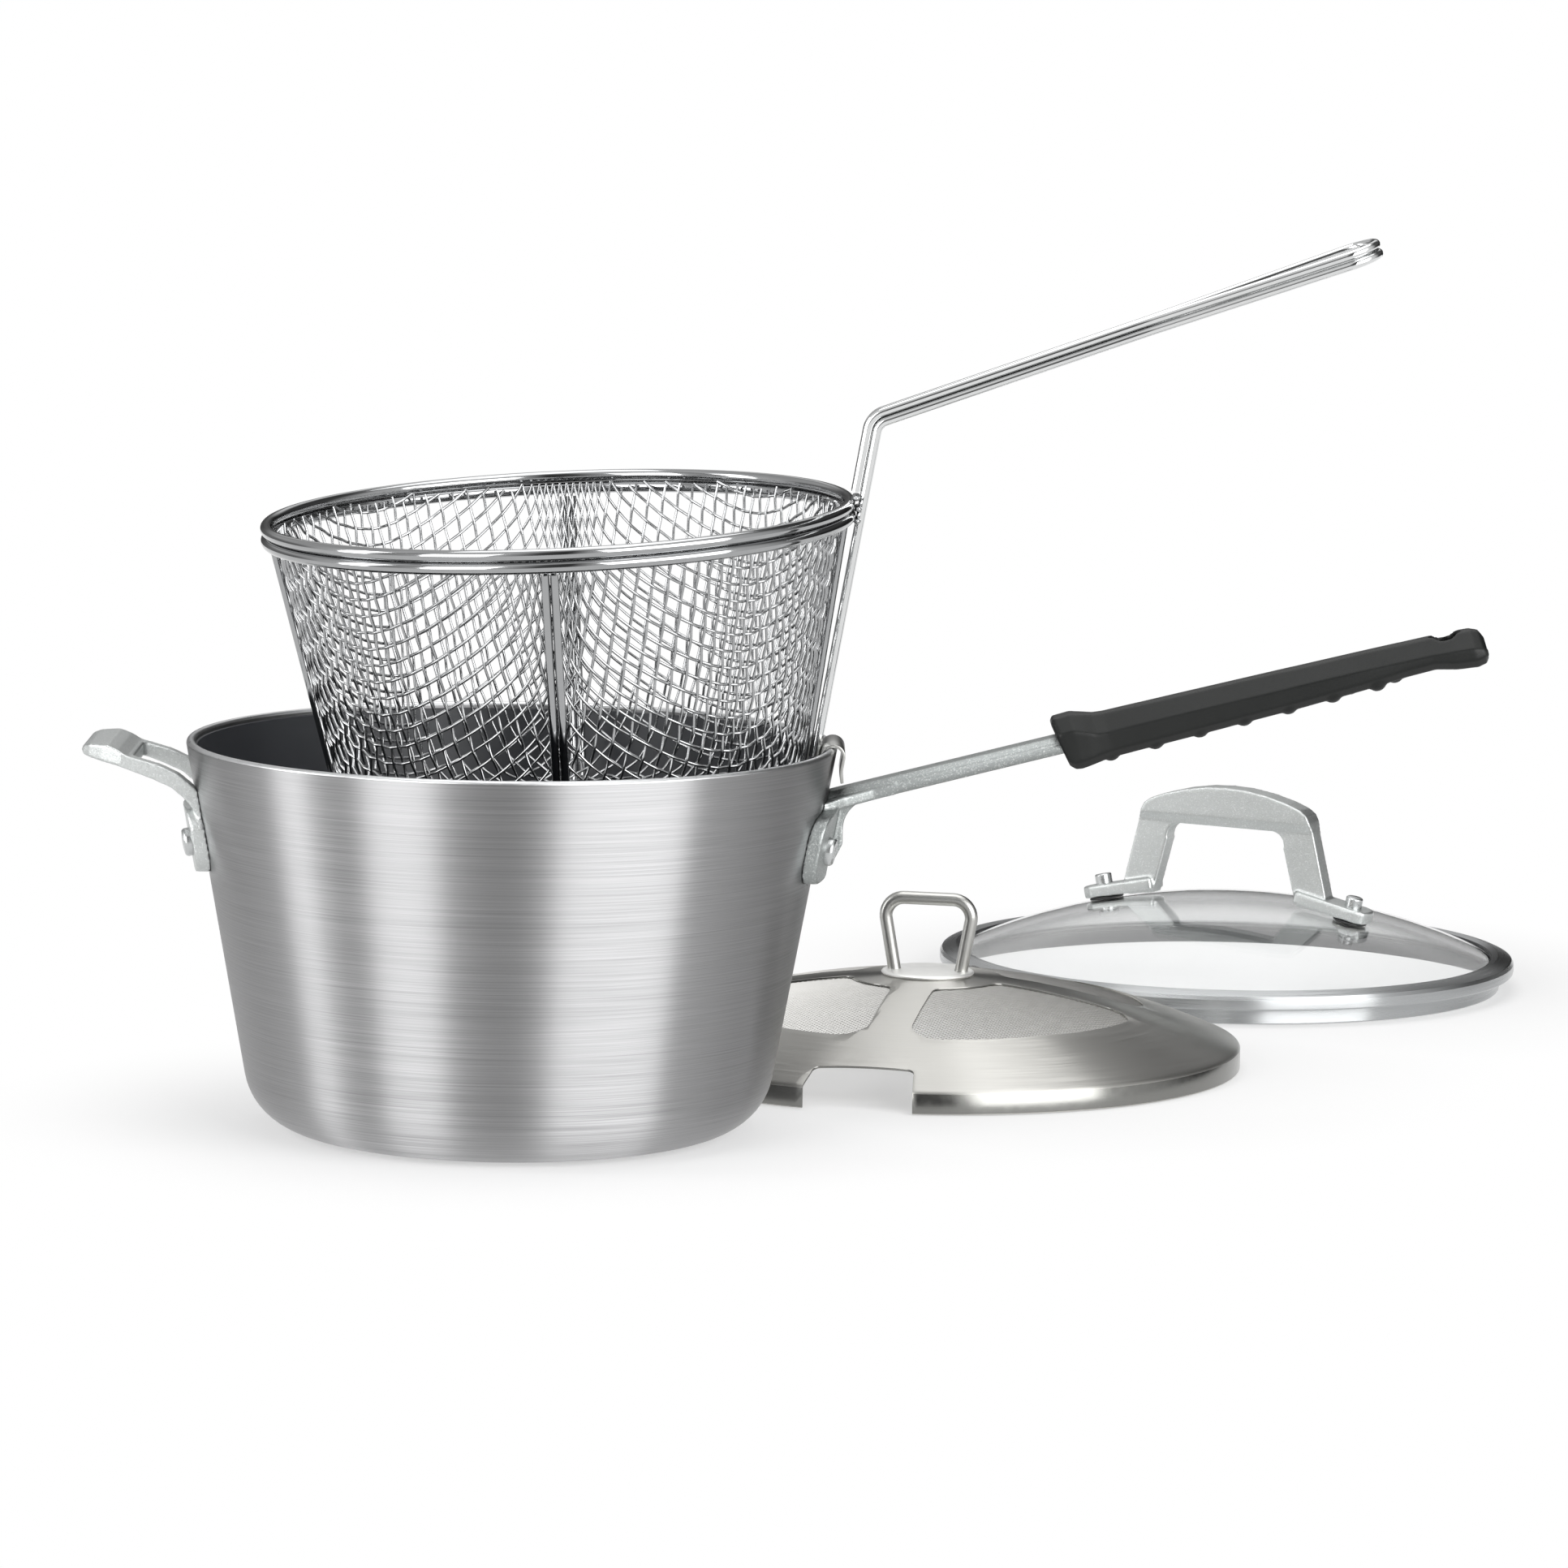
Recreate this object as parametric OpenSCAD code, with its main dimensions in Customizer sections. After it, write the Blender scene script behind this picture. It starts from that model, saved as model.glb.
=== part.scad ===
// Stovetop deep-fryer set: fry pot, wire basket hooked on its rim, splatter lid and glass lid.
// Millimetres, +Z up, origin at the centre of the pot's base, long handle along +X.

/* [Pot] */
// Outer diameter of the pot at its rim
pot_rim_d = 250; // [200:1:320]
// Outer diameter that the tapered wall would have at the floor
pot_base_d = 196; // [150:1:260]
// Height of the pot from floor to rim
pot_h = 150; // [120:1:200]
// Wall thickness of the pot
pot_wall = 3.5; // [2:0.1:5]
// Thickness of the pot's base
pot_floor_t = 5; // [3:0.5:8]
// Outer corner radius between base and wall
pot_corner_r = 25; // [12:1:35]
// Thickness of the non-stick lining
lining_t = 0.5; // [0.3:0.1:1]

/* [Rivets] */
// Depth of the handle rivets below the rim
rivet_drop = 37.5; // [28:0.5:60]
// Distance between the two rivets of a handle
rivet_pitch = 41; // [32:1:48]
// Diameter of a rivet's head
rivet_head_d = 10.8; // [8:0.2:14]
// Height of a rivet's head
rivet_head_h = 3; // [2:0.1:4]
// Diameter of a rivet's shank
rivet_shank_d = 6; // [4:0.5:8]

/* [Long handle] */
// Angle of the long handle above level
handle_rise = 14.6; // [5:0.1:25]
// Height from the rivets down to where the bar's line meets the pot's axis
handle_drop = 15.3; // [10:0.1:30]
// Width of the handle bar
bar_w = 20; // [14:0.5:26]
// Thickness of the handle bar
bar_t = 6.6; // [5:0.1:10]
// Length of bare bar between the pot's wall and the grip
bar_reach = 93; // [60:1:120]
// Thickness of the riveted plates
plate_t = 5; // [3:0.5:8]
// Width of the long handle's plate
plate_w = 70; // [56:1:80]
// Height of the long handle's plate at its ends
plate_h = 26; // [20:1:36]

/* [Grip] */
// Length of the silicone grip
grip_len = 168.5; // [120:1:220]
// Width of the grip at its collar
grip_w = 25; // [22:0.5:32]
// Narrowest width of the grip
grip_waist_w = 21; // [18:0.5:28]
// Number of finger nubs in each of the two rows below the grip
nub_count = 7; // [3:1:9]
// Distance between nubs
nub_pitch = 17.5; // [12:0.5:20]
// Diameter of the hang hole
hang_hole_d = 12; // [8:0.5:13]

/* [Helper handle] */
// Reach of the helper handle from the pot's wall
helper_reach = 45.5; // [40:0.5:70]
// Width of the helper handle
helper_w = 56; // [50:1:72]
// Width of each of its arms
helper_arm_w = 7; // [5:0.5:12]

/* [Basket] */
// How far the basket's rim rings stay inside the pot's rim
basket_margin = 11.5; // [7:0.5:30]
// Diameter of the rim ring wire
ring_wire_d = 4.6; // [3:0.1:6]
// How much shorter the basket is than the pot is high
basket_clear = 32; // [20:1:60]
// How much more the basket's side tapers than the pot's wall
extra_taper = 1.3; // [0:0.1:4]
// Corner radius between the basket's side and floor
basket_corner_r = 16; // [8:1:24]
// Diameter of the mesh wire
mesh_wire_d = 1.2; // [0.8:0.1:2]
// Number of upright mesh wires around the side
side_wire_count = 48; // [24:4:64]
// Number of hoops
hoop_count = 10; // [5:1:14]
// Distance between the floor wires
floor_pitch = 10.2; // [8:0.1:20]
// Diameter of the rib wires
rib_wire_d = 3.2; // [2.4:0.1:4]
// Diameter of the handle wires
handle_wire_d = 3.5; // [2.8:0.1:4.5]

/* [Basket handle and hook] */
// Angle of the basket's handle above the plane of its rim
basket_handle_rise = 16.6; // [5:0.1:30]
// Height of the handle's bend above the rings
bend_height = 24.5; // [20:0.5:50]
// Inner bend radius on the centre line of the lower wire
bend_r = 5.4; // [4:0.2:10]
// Length of the handle beyond its bend
basket_handle_len = 197; // [160:1:260]
// Half width of the loop at the handle's end
end_loop_r = 11; // [8:0.5:16]
// Half angle at which the wires spread into the end loop
loop_spread = 6.6; // [4:0.1:10]
// Height of the hook's bend above the basket's floor
hook_height = 21; // [18:1:60]
// Inside bend radius of the rim hook
hook_r = 3.5; // [3:0.1:6]
// Width of the hook strip
hook_w = 24; // [10:0.5:30]
// Thickness of the hook strip
hook_t = 1.2; // [0.8:0.1:2]
// Tilt of the hooked basket, handle side up
basket_tilt = 3.2; // [0:0.1:5]
// Lean of the hooked basket to one side
basket_lean = 2.5; // [0:0.1:3]

/* [Splatter lid] */
// How far the splatter lid reaches past the pot's rim
splatter_overhang = 3.5; // [1.5:0.5:20]
// Height of its skirt
skirt_h = 9; // [6:0.5:14]
// Height of its dome above the skirt
splatter_rise = 27; // [15:1:40]
// Thickness of its sheet
sheet_t = 0.8; // [0.5:0.1:1.5]
// Inner radius of the four screened windows
window_r_in = 31; // [26:1:40]
// Outer radius of the four screened windows
window_r_out = 89; // [70:1:100]
// Width of the spokes between the windows
spoke_w = 17; // [10:1:26]
// Width of the handle notch at its inner edge
notch_w = 33; // [24:1:44]
// Depth of the handle notch in from the skirt
notch_depth = 16; // [10:1:24]
// Diameter of the centre disc
disc_d = 38; // [34:1:50]
// Height of the wire loop above the disc
loop_h = 32; // [24:1:44]
// Diameter of the loop wire
loop_wire_d = 4.6; // [3:0.1:6]

/* [Glass lid] */
// How far the glass lid's steel band reaches past the pot's rim
glass_overhang = 1.5; // [0:0.5:10]
// Height of the glass dome above the band
glass_rise = 25; // [15:1:40]
// Thickness of the glass
glass_t = 4; // [3:0.5:6]
// Height of the part of the band that drops into the pot
drop_h = 6.5; // [4:0.5:10]
// Height of the part of the band that sits on the rim
band_h = 7; // [5:0.5:10]
// Height of the bridge handle's top above the floor
bridge_top = 86; // [75:1:100]
// Thickness of the bridge handle
bridge_t = 9; // [6:0.5:12]
// Distance between the bridge handle's screws
bridge_screw_pitch = 119; // [110:1:130]
// Diameter of the screws
bridge_screw_d = 7; // [5:0.5:9]

/* [Layout] */
// Gap between the pot and the lids that lie beside it
lid_gap = 4; // [1:0.5:60]
// Direction of the splatter lid from the pot
splatter_bearing = 44.8; // [30:0.1:150]
// Turn of the splatter lid
splatter_turn = -12; // [-180:1:180]
// Direction of the glass lid from the splatter lid
glass_bearing = 58.1; // [30:0.1:150]
// Turn of the glass lid
glass_turn = -29.6; // [-180:0.1:180]

/* [Hidden] */
$fn = 48;

cast_grey = "#a9adab";
brushed = "#b9bcbe";
chrome = "#d4d6d8";
charcoal = "#3c3f3e";
lining_black = "#2e3033";

// Seats keep this clearance, and wires side by side this one
seat_gap = 0.05;
wire_gap = 0.2;
// Bends are this much thicker than straight wire, and straight wires run this far into them
bend_swell = 0.1;
wire_lap = 0.3;

// ---- Pot: taper and radii at a height
pot_taper = atan((pot_rim_d - pot_base_d) / 2 / pot_h);
function pot_r(z) = pot_base_d / 2 + z * tan(pot_taper);
function hug_r(z) = pot_r(z) + seat_gap;
lip_r = pot_wall / 2 * cos(pot_taper);
lip_z = pot_h - lip_r;
pot_inner_corner_r = pot_corner_r - pot_wall;

// Half section of a solid tapered cup: r0 is the wall's radius at z0, with a round corner at z0
module cup_section(r0, z0, z1, corner_r) {
    cx = r0 - corner_r * (1 - sin(pot_taper)) / cos(pot_taper);
    r1 = r0 + (z1 - z0) * tan(pot_taper);
    polygon([[0, z0], [cx, z0],
             [cx + corner_r * cos(pot_taper), z0 + corner_r * (1 - sin(pot_taper))],
             [r1, z1], [0, z1]]);
    translate([cx, z0 + corner_r]) circle(r = corner_r, $fn = 96);
}

module lining_section(offset_in, z1) {
    z0 = pot_floor_t + offset_in;
    cup_section(pot_r(z0) - pot_wall - offset_in, z0, z1, pot_inner_corner_r - offset_in);
}

module pot_shell() {
    color(brushed) difference() {
        rotate_extrude($fn = 180) {
            difference() {
                cup_section(pot_base_d / 2, 0, lip_z, pot_corner_r);
                lining_section(0, pot_h);
            }
            translate([pot_r(lip_z) - pot_wall / 2, lip_z]) circle(r = lip_r);
        }
        both_handles_rivet_holes();
    }
}

module nonstick_lining() {
    color(lining_black) difference() {
        rotate_extrude($fn = 180) difference() {
            lining_section(0, lip_z - 1);
            lining_section(lining_t, pot_h);
        }
        both_handles_rivet_holes();
    }
}

// ---- Rivets
rivet_z = pot_h - rivet_drop;
rivet_angle = asin(rivet_pitch / 2 / pot_r(rivet_z));

// Moves its children to a rivet: +Z points out of the wall, z = 0 on the wall's outer face
module at_rivets(handle_azimuth) {
    for (side = [-1, 1])
        rotate([0, 0, handle_azimuth + side * rivet_angle])
            translate([pot_r(rivet_z), 0, rivet_z])
                rotate([0, 90 + pot_taper, 0]) children();
}

module rivet_holes(handle_azimuth) {
    at_rivets(handle_azimuth)
        translate([0, 0, -pot_wall * 3]) cylinder(h = pot_wall * 3 + plate_t * 3, d = rivet_shank_d);
}

module both_handles_rivet_holes() {
    rivet_holes(0);
    rivet_holes(180);
}

module rivets(handle_azimuth) {
    wall_in = (pot_wall + lining_t) * cos(pot_taper);
    sit_in = pow(rivet_head_d / 2, 2) / pot_r(rivet_z) / 2 + seat_gap;
    color(cast_grey) at_rivets(handle_azimuth) {
        translate([0, 0, -wall_in - sit_in]) cylinder(h = wall_in + sit_in + plate_t + 1, d = rivet_shank_d);
        translate([0, 0, plate_t + seat_gap]) rivet_head(rivet_head_h);
        translate([0, 0, -wall_in - sit_in]) mirror([0, 0, 1]) rivet_head(rivet_head_h * 0.6);
    }
}

// Flat-topped head with a rounded shoulder
module rivet_head(h) {
    shoulder = h * 0.75;
    rotate_extrude() {
        square([rivet_head_d / 2 - shoulder, h]);
        square([rivet_head_d / 2, h - shoulder]);
        intersection() {
            translate([rivet_head_d / 2 - shoulder, h - shoulder]) circle(r = shoulder);
            square([rivet_head_d / 2, h]);
        }
    }
}

module long_handle_rivets() { rivets(0); }
module helper_handle_rivets() { rivets(180); }

// ---- Riveted plates: a shell that hugs the pot's wall, cut to an outline
module wall_hugging_shell(t) {
    low = rivet_z - plate_h;
    top = pot_h - 12;
    rotate_extrude($fn = 180)
        polygon([[hug_r(low), low], [hug_r(low) + t, low], [hug_r(top) + t, top], [hug_r(top), top]]);
}

// What the pot takes up, with its clearance
module wall_space() {
    cylinder(h = pot_h, r1 = hug_r(0), r2 = hug_r(pot_h), $fn = 180);
}

module rounded_rect(w, h, r) {
    square([w - 2 * r, h], center = true);
    square([w, h - 2 * r], center = true);
    for (x = [-1, 1], y = [-1, 1]) translate([x * (w / 2 - r), y * (h / 2 - r)]) circle(r = r);
}

// Its children are the outline, seen along -X with the rivets' line at 0
module riveted_plate() {
    intersection() {
        wall_hugging_shell(plate_t / cos(pot_taper));
        translate([0, 0, rivet_z]) rotate([90, 0, 90]) linear_extrude(pot_rim_d) children();
    }
}

// ---- Long handle. Its bar runs along the local +X of this frame, which starts on the pot's axis
bar_z = rivet_z - handle_drop;
module along_handle() {
    translate([0, 0, bar_z]) rotate([0, -handle_rise, 0]) children();
}
bar_start = pot_r(rivet_z) / cos(handle_rise);
grip_start = bar_start + bar_reach;
tang_len = grip_len - 34;
tang_w = bar_w - 6;
tang_t = bar_t - 1.6;
sleeve_gap = 0.1;

// Cross-section of the bar: a roofed top between two side flanges
module bar_section() {
    roof = bar_t * 0.5;
    polygon([[-bar_w * 0.24, roof], [-bar_w * 0.4, roof * 0.45], [-bar_w * 0.41, roof * 0.12],
             [-bar_w * 0.5, roof * 0.12], [-bar_w * 0.5, -roof * 0.55], [-bar_w * 0.42, -roof],
             [bar_w * 0.42, -roof], [bar_w * 0.5, -roof * 0.55], [bar_w * 0.5, roof * 0.12],
             [bar_w * 0.41, roof * 0.12], [bar_w * 0.4, roof * 0.45], [bar_w * 0.24, roof]]);
}

module tang(extra) {
    along_handle()
        translate([grip_start - 1, -tang_w / 2 - extra, -tang_t / 2 - extra])
            cube([tang_len + 1 + extra, tang_w + 2 * extra, tang_t + 2 * extra]);
}

// Web that sweeps from between the rivets up into the bar, seen from the side
module root_side() {
    x0 = pot_r(rivet_z) - 2;
    sweep_r = 12;
    top = function(x) bar_z + x * tan(handle_rise) + bar_t / 2;
    x1 = x0 + sweep_r + 8;
    difference() {
        polygon([[x0, rivet_z - 8], [x0 + 7, rivet_z - 8], [x0 + 11, rivet_z], [x1 + 1, rivet_z],
                 [x1 + 1, top(x1) - 1], [x0, top(x0) - 1]]);
        translate([x1 + 3, top(x1 + 3) - bar_t - sweep_r]) circle(r = sweep_r, $fn = 96);
        translate([x1 + 3 - sweep_r, rivet_z - 20]) square([60, top(x1) - bar_t - sweep_r - rivet_z + 20]);
    }
}

module long_handle() {
    color(cast_grey) difference() {
        union() {
            riveted_plate() hull() {
                rounded_rect(plate_w, plate_h, 9);
                translate([-bar_w / 2 - 1, 0]) square([bar_w + 2, bar_z + pot_r(rivet_z) * tan(handle_rise) - rivet_z]);
            }
            difference() {
                union() {
                    along_handle() translate([bar_start - 8, 0, 0]) rotate([90, 0, 90])
                        linear_extrude(bar_reach + 8) bar_section();
                    translate([0, bar_w * 0.36, 0]) rotate([90, 0, 0]) linear_extrude(bar_w * 0.72) root_side();
                    shoulder();
                }
                wall_space();
            }
            tang(0);
        }
        rivet_holes(0);
    }
}

// Shoulder that widens the bar into the plate's top edge, seen from above
module shoulder() {
    x0 = pot_r(rivet_z) - 4;
    intersection() {
        linear_extrude(pot_h) polygon([[x0, -bar_w], [x0 + 7, -bar_w * 0.86], [x0 + 14, -bar_w * 0.6],
                                       [x0 + 26, -bar_w / 2], [x0 + 26, bar_w / 2], [x0 + 14, bar_w * 0.6],
                                       [x0 + 7, bar_w * 0.86], [x0, bar_w]]);
        along_handle() translate([bar_start - 12, -plate_w / 2, -bar_t / 2]) cube([44, plate_w, bar_t * 0.62]);
    }
}

// ---- Grip sleeve, in the handle's own frame with x = 0 at its front
grip_top = 7.8;
grip_bottom = -9;
collar_len = 9;
nub_r = 4.2;
nub_drop = 1.7;
hang_hole_x = grip_len - 14;

module grip_side() {
    L = grip_len;
    polygon([[0, grip_top + 2.4], [collar_len - 2, grip_top + 2.8], [collar_len + 11, grip_top],
             [L * 0.62, grip_top - 0.8], [L - 18, grip_top - 1.4], [L - 3, grip_top - 1.8],
             [L, grip_top - 4.5], [L - 0.5, -3], [L + 0.8, -7], [L - 2, -8.6], [L - 11, -7.8],
             [L - 21, -5.6], [L - 34, -5.8], [L * 0.62, grip_bottom + 1.4], [collar_len + 6, grip_bottom],
             [collar_len - 1, grip_bottom - 1.4], [3.7, grip_bottom - 1.6]]);
}

module grip_plan() {
    L = grip_len;
    half = [[0, grip_w / 2 - 1.5], [2, grip_w / 2], [collar_len - 1, grip_w / 2],
            [collar_len + 11, grip_waist_w / 2 + 1], [L * 0.55, grip_waist_w / 2 + 0.4],
            [L - 30, grip_waist_w / 2], [L - 5, grip_waist_w / 2 + 1.2], [L + 1, grip_waist_w / 2 - 2]];
    polygon(concat([for (p = half) [p[0], -p[1]]], [for (i = [len(half) - 1 : -1 : 0]) half[i]]));
}

// Roofed top with a narrow flat, chamfered bottom edges
module grip_section() {
    w = grip_w / 2;
    polygon([[-w, -9], [-w + 3.5, -13], [w - 3.5, -13], [w, -9], [w, 0.5], [4.4, 11], [-4.4, 11], [-w, 0.5]]);
}

module grip_sleeve() {
    color(charcoal) difference() {
        along_handle() translate([grip_start, 0, 0]) difference() {
            union() {
                intersection() {
                    translate([0, grip_w, 0]) rotate([90, 0, 0]) linear_extrude(2 * grip_w) grip_side();
                    translate([0, 0, -20]) linear_extrude(40) grip_plan();
                    translate([-1, 0, 0]) rotate([90, 0, 90]) linear_extrude(grip_len + 4) grip_section();
                }
                for (i = [0 : nub_count - 1], side = [-1, 1])
                    translate([20 + (i + (side > 0 ? 0.45 : 0)) * nub_pitch, side * 5.2, grip_bottom + nub_r - nub_drop + i * 0.33])
                        rotate([90, 0, 0]) cylinder(h = 7, r = nub_r, center = true);
            }
            translate([hang_hole_x, 0, -20]) cylinder(h = 40, d = hang_hole_d);
        }
        tang(sleeve_gap);
        along_handle() translate([grip_start - 1, 0, 0]) rotate([90, 0, 90])
            linear_extrude(3) offset(delta = sleeve_gap) bar_section();
    }
}

// ---- Helper handle: a cast loop, x pointing away from the pot, then turned to the other side.
// The side view is drawn from its tip and from the rivets' height
helper_tip = pot_r(rivet_z) + helper_reach;
module helper_side() {
    translate([helper_tip, rivet_z])
        polygon([[0, 33], [-1.2, 35.4], [-4, 36.2], [-11, 36.2], [-15, 34.6], [-19, 32.2], [-24, 30.8], [-31, 28.8],
                 [-38, 25.6], [-44.5, 20.3], [-49, 14], [-52, 8], [-52, 0], [-48.5, 6.5], [-43.2, 12.9],
                 [-40.2, 16.4], [-35.2, 20.5], [-27.6, 23.8], [-15, 28.4], [-1.6, 31.6]]);
}

module helper_plan() {
    R = helper_tip;
    w = helper_w / 2;
    inner = pot_r(rivet_z) - 12;
    difference() {
        polygon([[inner, -w], [R - 16, -w], [R - 4, -w + 4.5], [R, -w + 12], [R, w - 12], [R - 4, w - 4.5],
                 [R - 16, w], [inner, w]]);
        polygon([[inner - 1, -w + helper_arm_w], [R - 22, -w + helper_arm_w], [R - 20.5, -w + helper_arm_w + 1.5],
                 [R - 20.5, w - helper_arm_w - 1.5], [R - 22, w - helper_arm_w], [inner - 1, w - helper_arm_w]]);
    }
}

module helper_handle() {
    color(cast_grey) rotate([0, 0, 180]) difference() {
        union() {
            riveted_plate() rounded_rect(helper_w + 2, plate_h - 1, 8);
            difference() {
                intersection() {
                    translate([0, helper_w, 0]) rotate([90, 0, 0]) linear_extrude(2 * helper_w) helper_side();
                    linear_extrude(2 * pot_h) helper_plan();
                }
                wall_space();
            }
        }
        rivet_holes(0);
    }
}

// ---- Wire helpers
module rod(p, q, d, lap = 0) {
    v = q - p;
    translate(p) rotate([0, acos(v[2] / norm(v)), atan2(v[1], v[0])]) translate([0, 0, -lap])
        cylinder(h = norm(v) + 2 * lap, d = d, $fn = 24);
}

// Arc of wire in the XZ plane, angles from +X towards +Z
module xz_arc(centre, r, a0, a1, d) {
    translate(centre) rotate([90, 0, 0]) rotate([0, 0, min(a0, a1)])
        rotate_extrude(angle = abs(a1 - a0), $fn = 96) translate([r, 0]) circle(d = d + bend_swell, $fn = 24);
}

// ---- Basket, in its own frame: origin at the centre of the top of its rings, handle towards +X
basket_depth = pot_h - basket_clear;
basket_taper = pot_taper + extra_taper;
basket_r = pot_rim_d / 2 - basket_margin;
ring_r = basket_r - ring_wire_d / 2;
mesh_top_z = -ring_wire_d / 2;
mesh_top_r = basket_r - ring_wire_d - mesh_wire_d / 2 - wire_gap;
corner_z = -basket_depth + basket_corner_r;
corner_c = mesh_top_r - (basket_corner_r + (mesh_top_z - corner_z) * sin(basket_taper)) / cos(basket_taper);
rib_offset = (mesh_wire_d + rib_wire_d) / 2 + wire_gap;
hoop_offset = -mesh_wire_d - wire_gap;

// Radius of the side wires' centre lines, moved out by an offset, at a height
function side_r(z, off = 0) = mesh_top_r + (z - mesh_top_z) * tan(basket_taper) + off / cos(basket_taper);

// Where the side, moved out by an offset, meets the corner's arc
function corner_start(off) = [corner_c + (basket_corner_r + off) * cos(basket_taper), 0,
                              corner_z - (basket_corner_r + off) * sin(basket_taper)];

// Handle wires: the lower loop's legs pass outside the rings and meet the ribs further down
wire_step = handle_wire_d + wire_gap;
leg_low_z = -basket_depth + basket_corner_r + 2;
leg_low_x = side_r(leg_low_z, rib_offset + (rib_wire_d + handle_wire_d) / 2 + wire_gap / 2);
lower_ring_z = -ring_wire_d * 1.5 - seat_gap;
leg_past_ring = (ring_wire_d + handle_wire_d) / 2 + wire_gap;
leg_lean = atan((ring_r + leg_past_ring / cos(basket_taper) - leg_low_x) / (lower_ring_z - leg_low_z));
leg_ring_x = leg_low_x + (-ring_wire_d - leg_low_z) * tan(leg_lean);
leg_dir = [sin(leg_lean), 0, cos(leg_lean)];
leg_out = [cos(leg_lean), 0, -sin(leg_lean)];
bar_dir = [cos(basket_handle_rise), 0, sin(basket_handle_rise)];
bar_up = [-sin(basket_handle_rise), 0, cos(basket_handle_rise)];
function on_leg(z) = [leg_ring_x + (z + ring_wire_d) * tan(leg_lean), 0, z];
bend_centre = on_leg(bend_height) + bend_r * leg_out;

// Hook: a strip folded over the rim, its bend centred beside the legs
hook_centre = on_leg(hook_height - basket_depth) + (handle_wire_d / 2 + seat_gap + hook_t + hook_r) * leg_out;
rim_mid_r = pot_r(lip_z) - pot_wall / 2;
hook_slack = 0.1;
// The leaning hook rests on the rim with one edge of its strip
hook_lift = hook_w / 2 * sin(basket_lean) + 0.15;

// Hangs the basket on the pot's rim by its hook
module hang_on_rim() {
    translate([rim_mid_r + hook_slack, 0, pot_h + seat_gap - hook_r + hook_lift])
        rotate([basket_lean, -basket_tilt, 0]) translate(-hook_centre) children();
}

module ring(r, z, d) {
    translate([0, 0, z]) rotate_extrude($fn = 180) translate([r, 0]) circle(d = d, $fn = 24);
}

module basket_top_ring() {
    color(chrome) hang_on_rim() ring(ring_r, -ring_wire_d / 2, ring_wire_d);
}

module basket_lower_ring() {
    color(chrome) hang_on_rim() ring(ring_r, lower_ring_z, ring_wire_d);
}

// One rib wire: down the side, round the corner and across the floor to the far side
module rib_hoop(drop) {
    o = rib_offset;
    shift = drop / cos(basket_taper) * [-sin(basket_taper), 0, -cos(basket_taper)];
    r = basket_corner_r + o;
    top_z = -2 * ring_wire_d - 0.8;
    for (side = [0, 180]) rotate([0, 0, side]) {
        rod([side_r(top_z, o), 0, top_z], corner_start(o) + shift, rib_wire_d, wire_lap);
        xz_arc([corner_c, 0, corner_z] + shift, r, -90, -basket_taper, rib_wire_d);
    }
    floor_half = corner_c + shift[0];
    rod([-floor_half, 0, corner_z + shift[2] - r], [floor_half, 0, corner_z + shift[2] - r], rib_wire_d, wire_lap);
}

module basket_ribs() {
    color(chrome) hang_on_rim() {
        for (y = [-1, 1]) translate([0, y * (rib_wire_d + wire_gap) / 2, 0]) rib_hoop(0);
        rotate([0, 0, 90]) for (y = [-1, 1])
            translate([0, y * (rib_wire_d + wire_gap) / 2, 0]) rib_hoop(rib_wire_d + wire_gap);
    }
}

module around_side() {
    step = 360 / side_wire_count;
    for (i = [0 : side_wire_count - 1]) rotate([0, 0, (i + 0.5) * step]) children();
}

module basket_side_wires() {
    color(chrome) hang_on_rim() around_side()
        rod([side_r(mesh_top_z + 1), 0, mesh_top_z + 1], corner_start(0), mesh_wire_d);
}

module basket_corner_wires() {
    color(chrome) hang_on_rim() around_side()
        xz_arc([corner_c, 0, corner_z], basket_corner_r, -90, -basket_taper, mesh_wire_d);
}

module basket_hoop_wires() {
    top = -2 * ring_wire_d - 4;
    low = corner_start(0)[2];
    color(chrome) hang_on_rim() {
        for (i = [0 : hoop_count - 1]) {
            z = top + (low - top) * i / (hoop_count - 1);
            ring(side_r(z, hoop_offset), z, mesh_wire_d);
        }
        ring(corner_c, -basket_depth - hoop_offset, mesh_wire_d);
    }
}

module basket_floor_wires() {
    reach = corner_c - mesh_wire_d / 2 - 0.1;
    rows = floor((reach - 4) / floor_pitch);
    color(chrome) hang_on_rim() for (i = [-rows : rows]) {
        p = i * floor_pitch;
        half = sqrt(reach * reach - pow(abs(p) + mesh_wire_d / 2, 2));
        rod([-half, p, -basket_depth], [half, p, -basket_depth], mesh_wire_d);
        rod([p, -half, -basket_depth - hoop_offset], [p, half, -basket_depth - hoop_offset], mesh_wire_d);
    }
}

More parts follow.
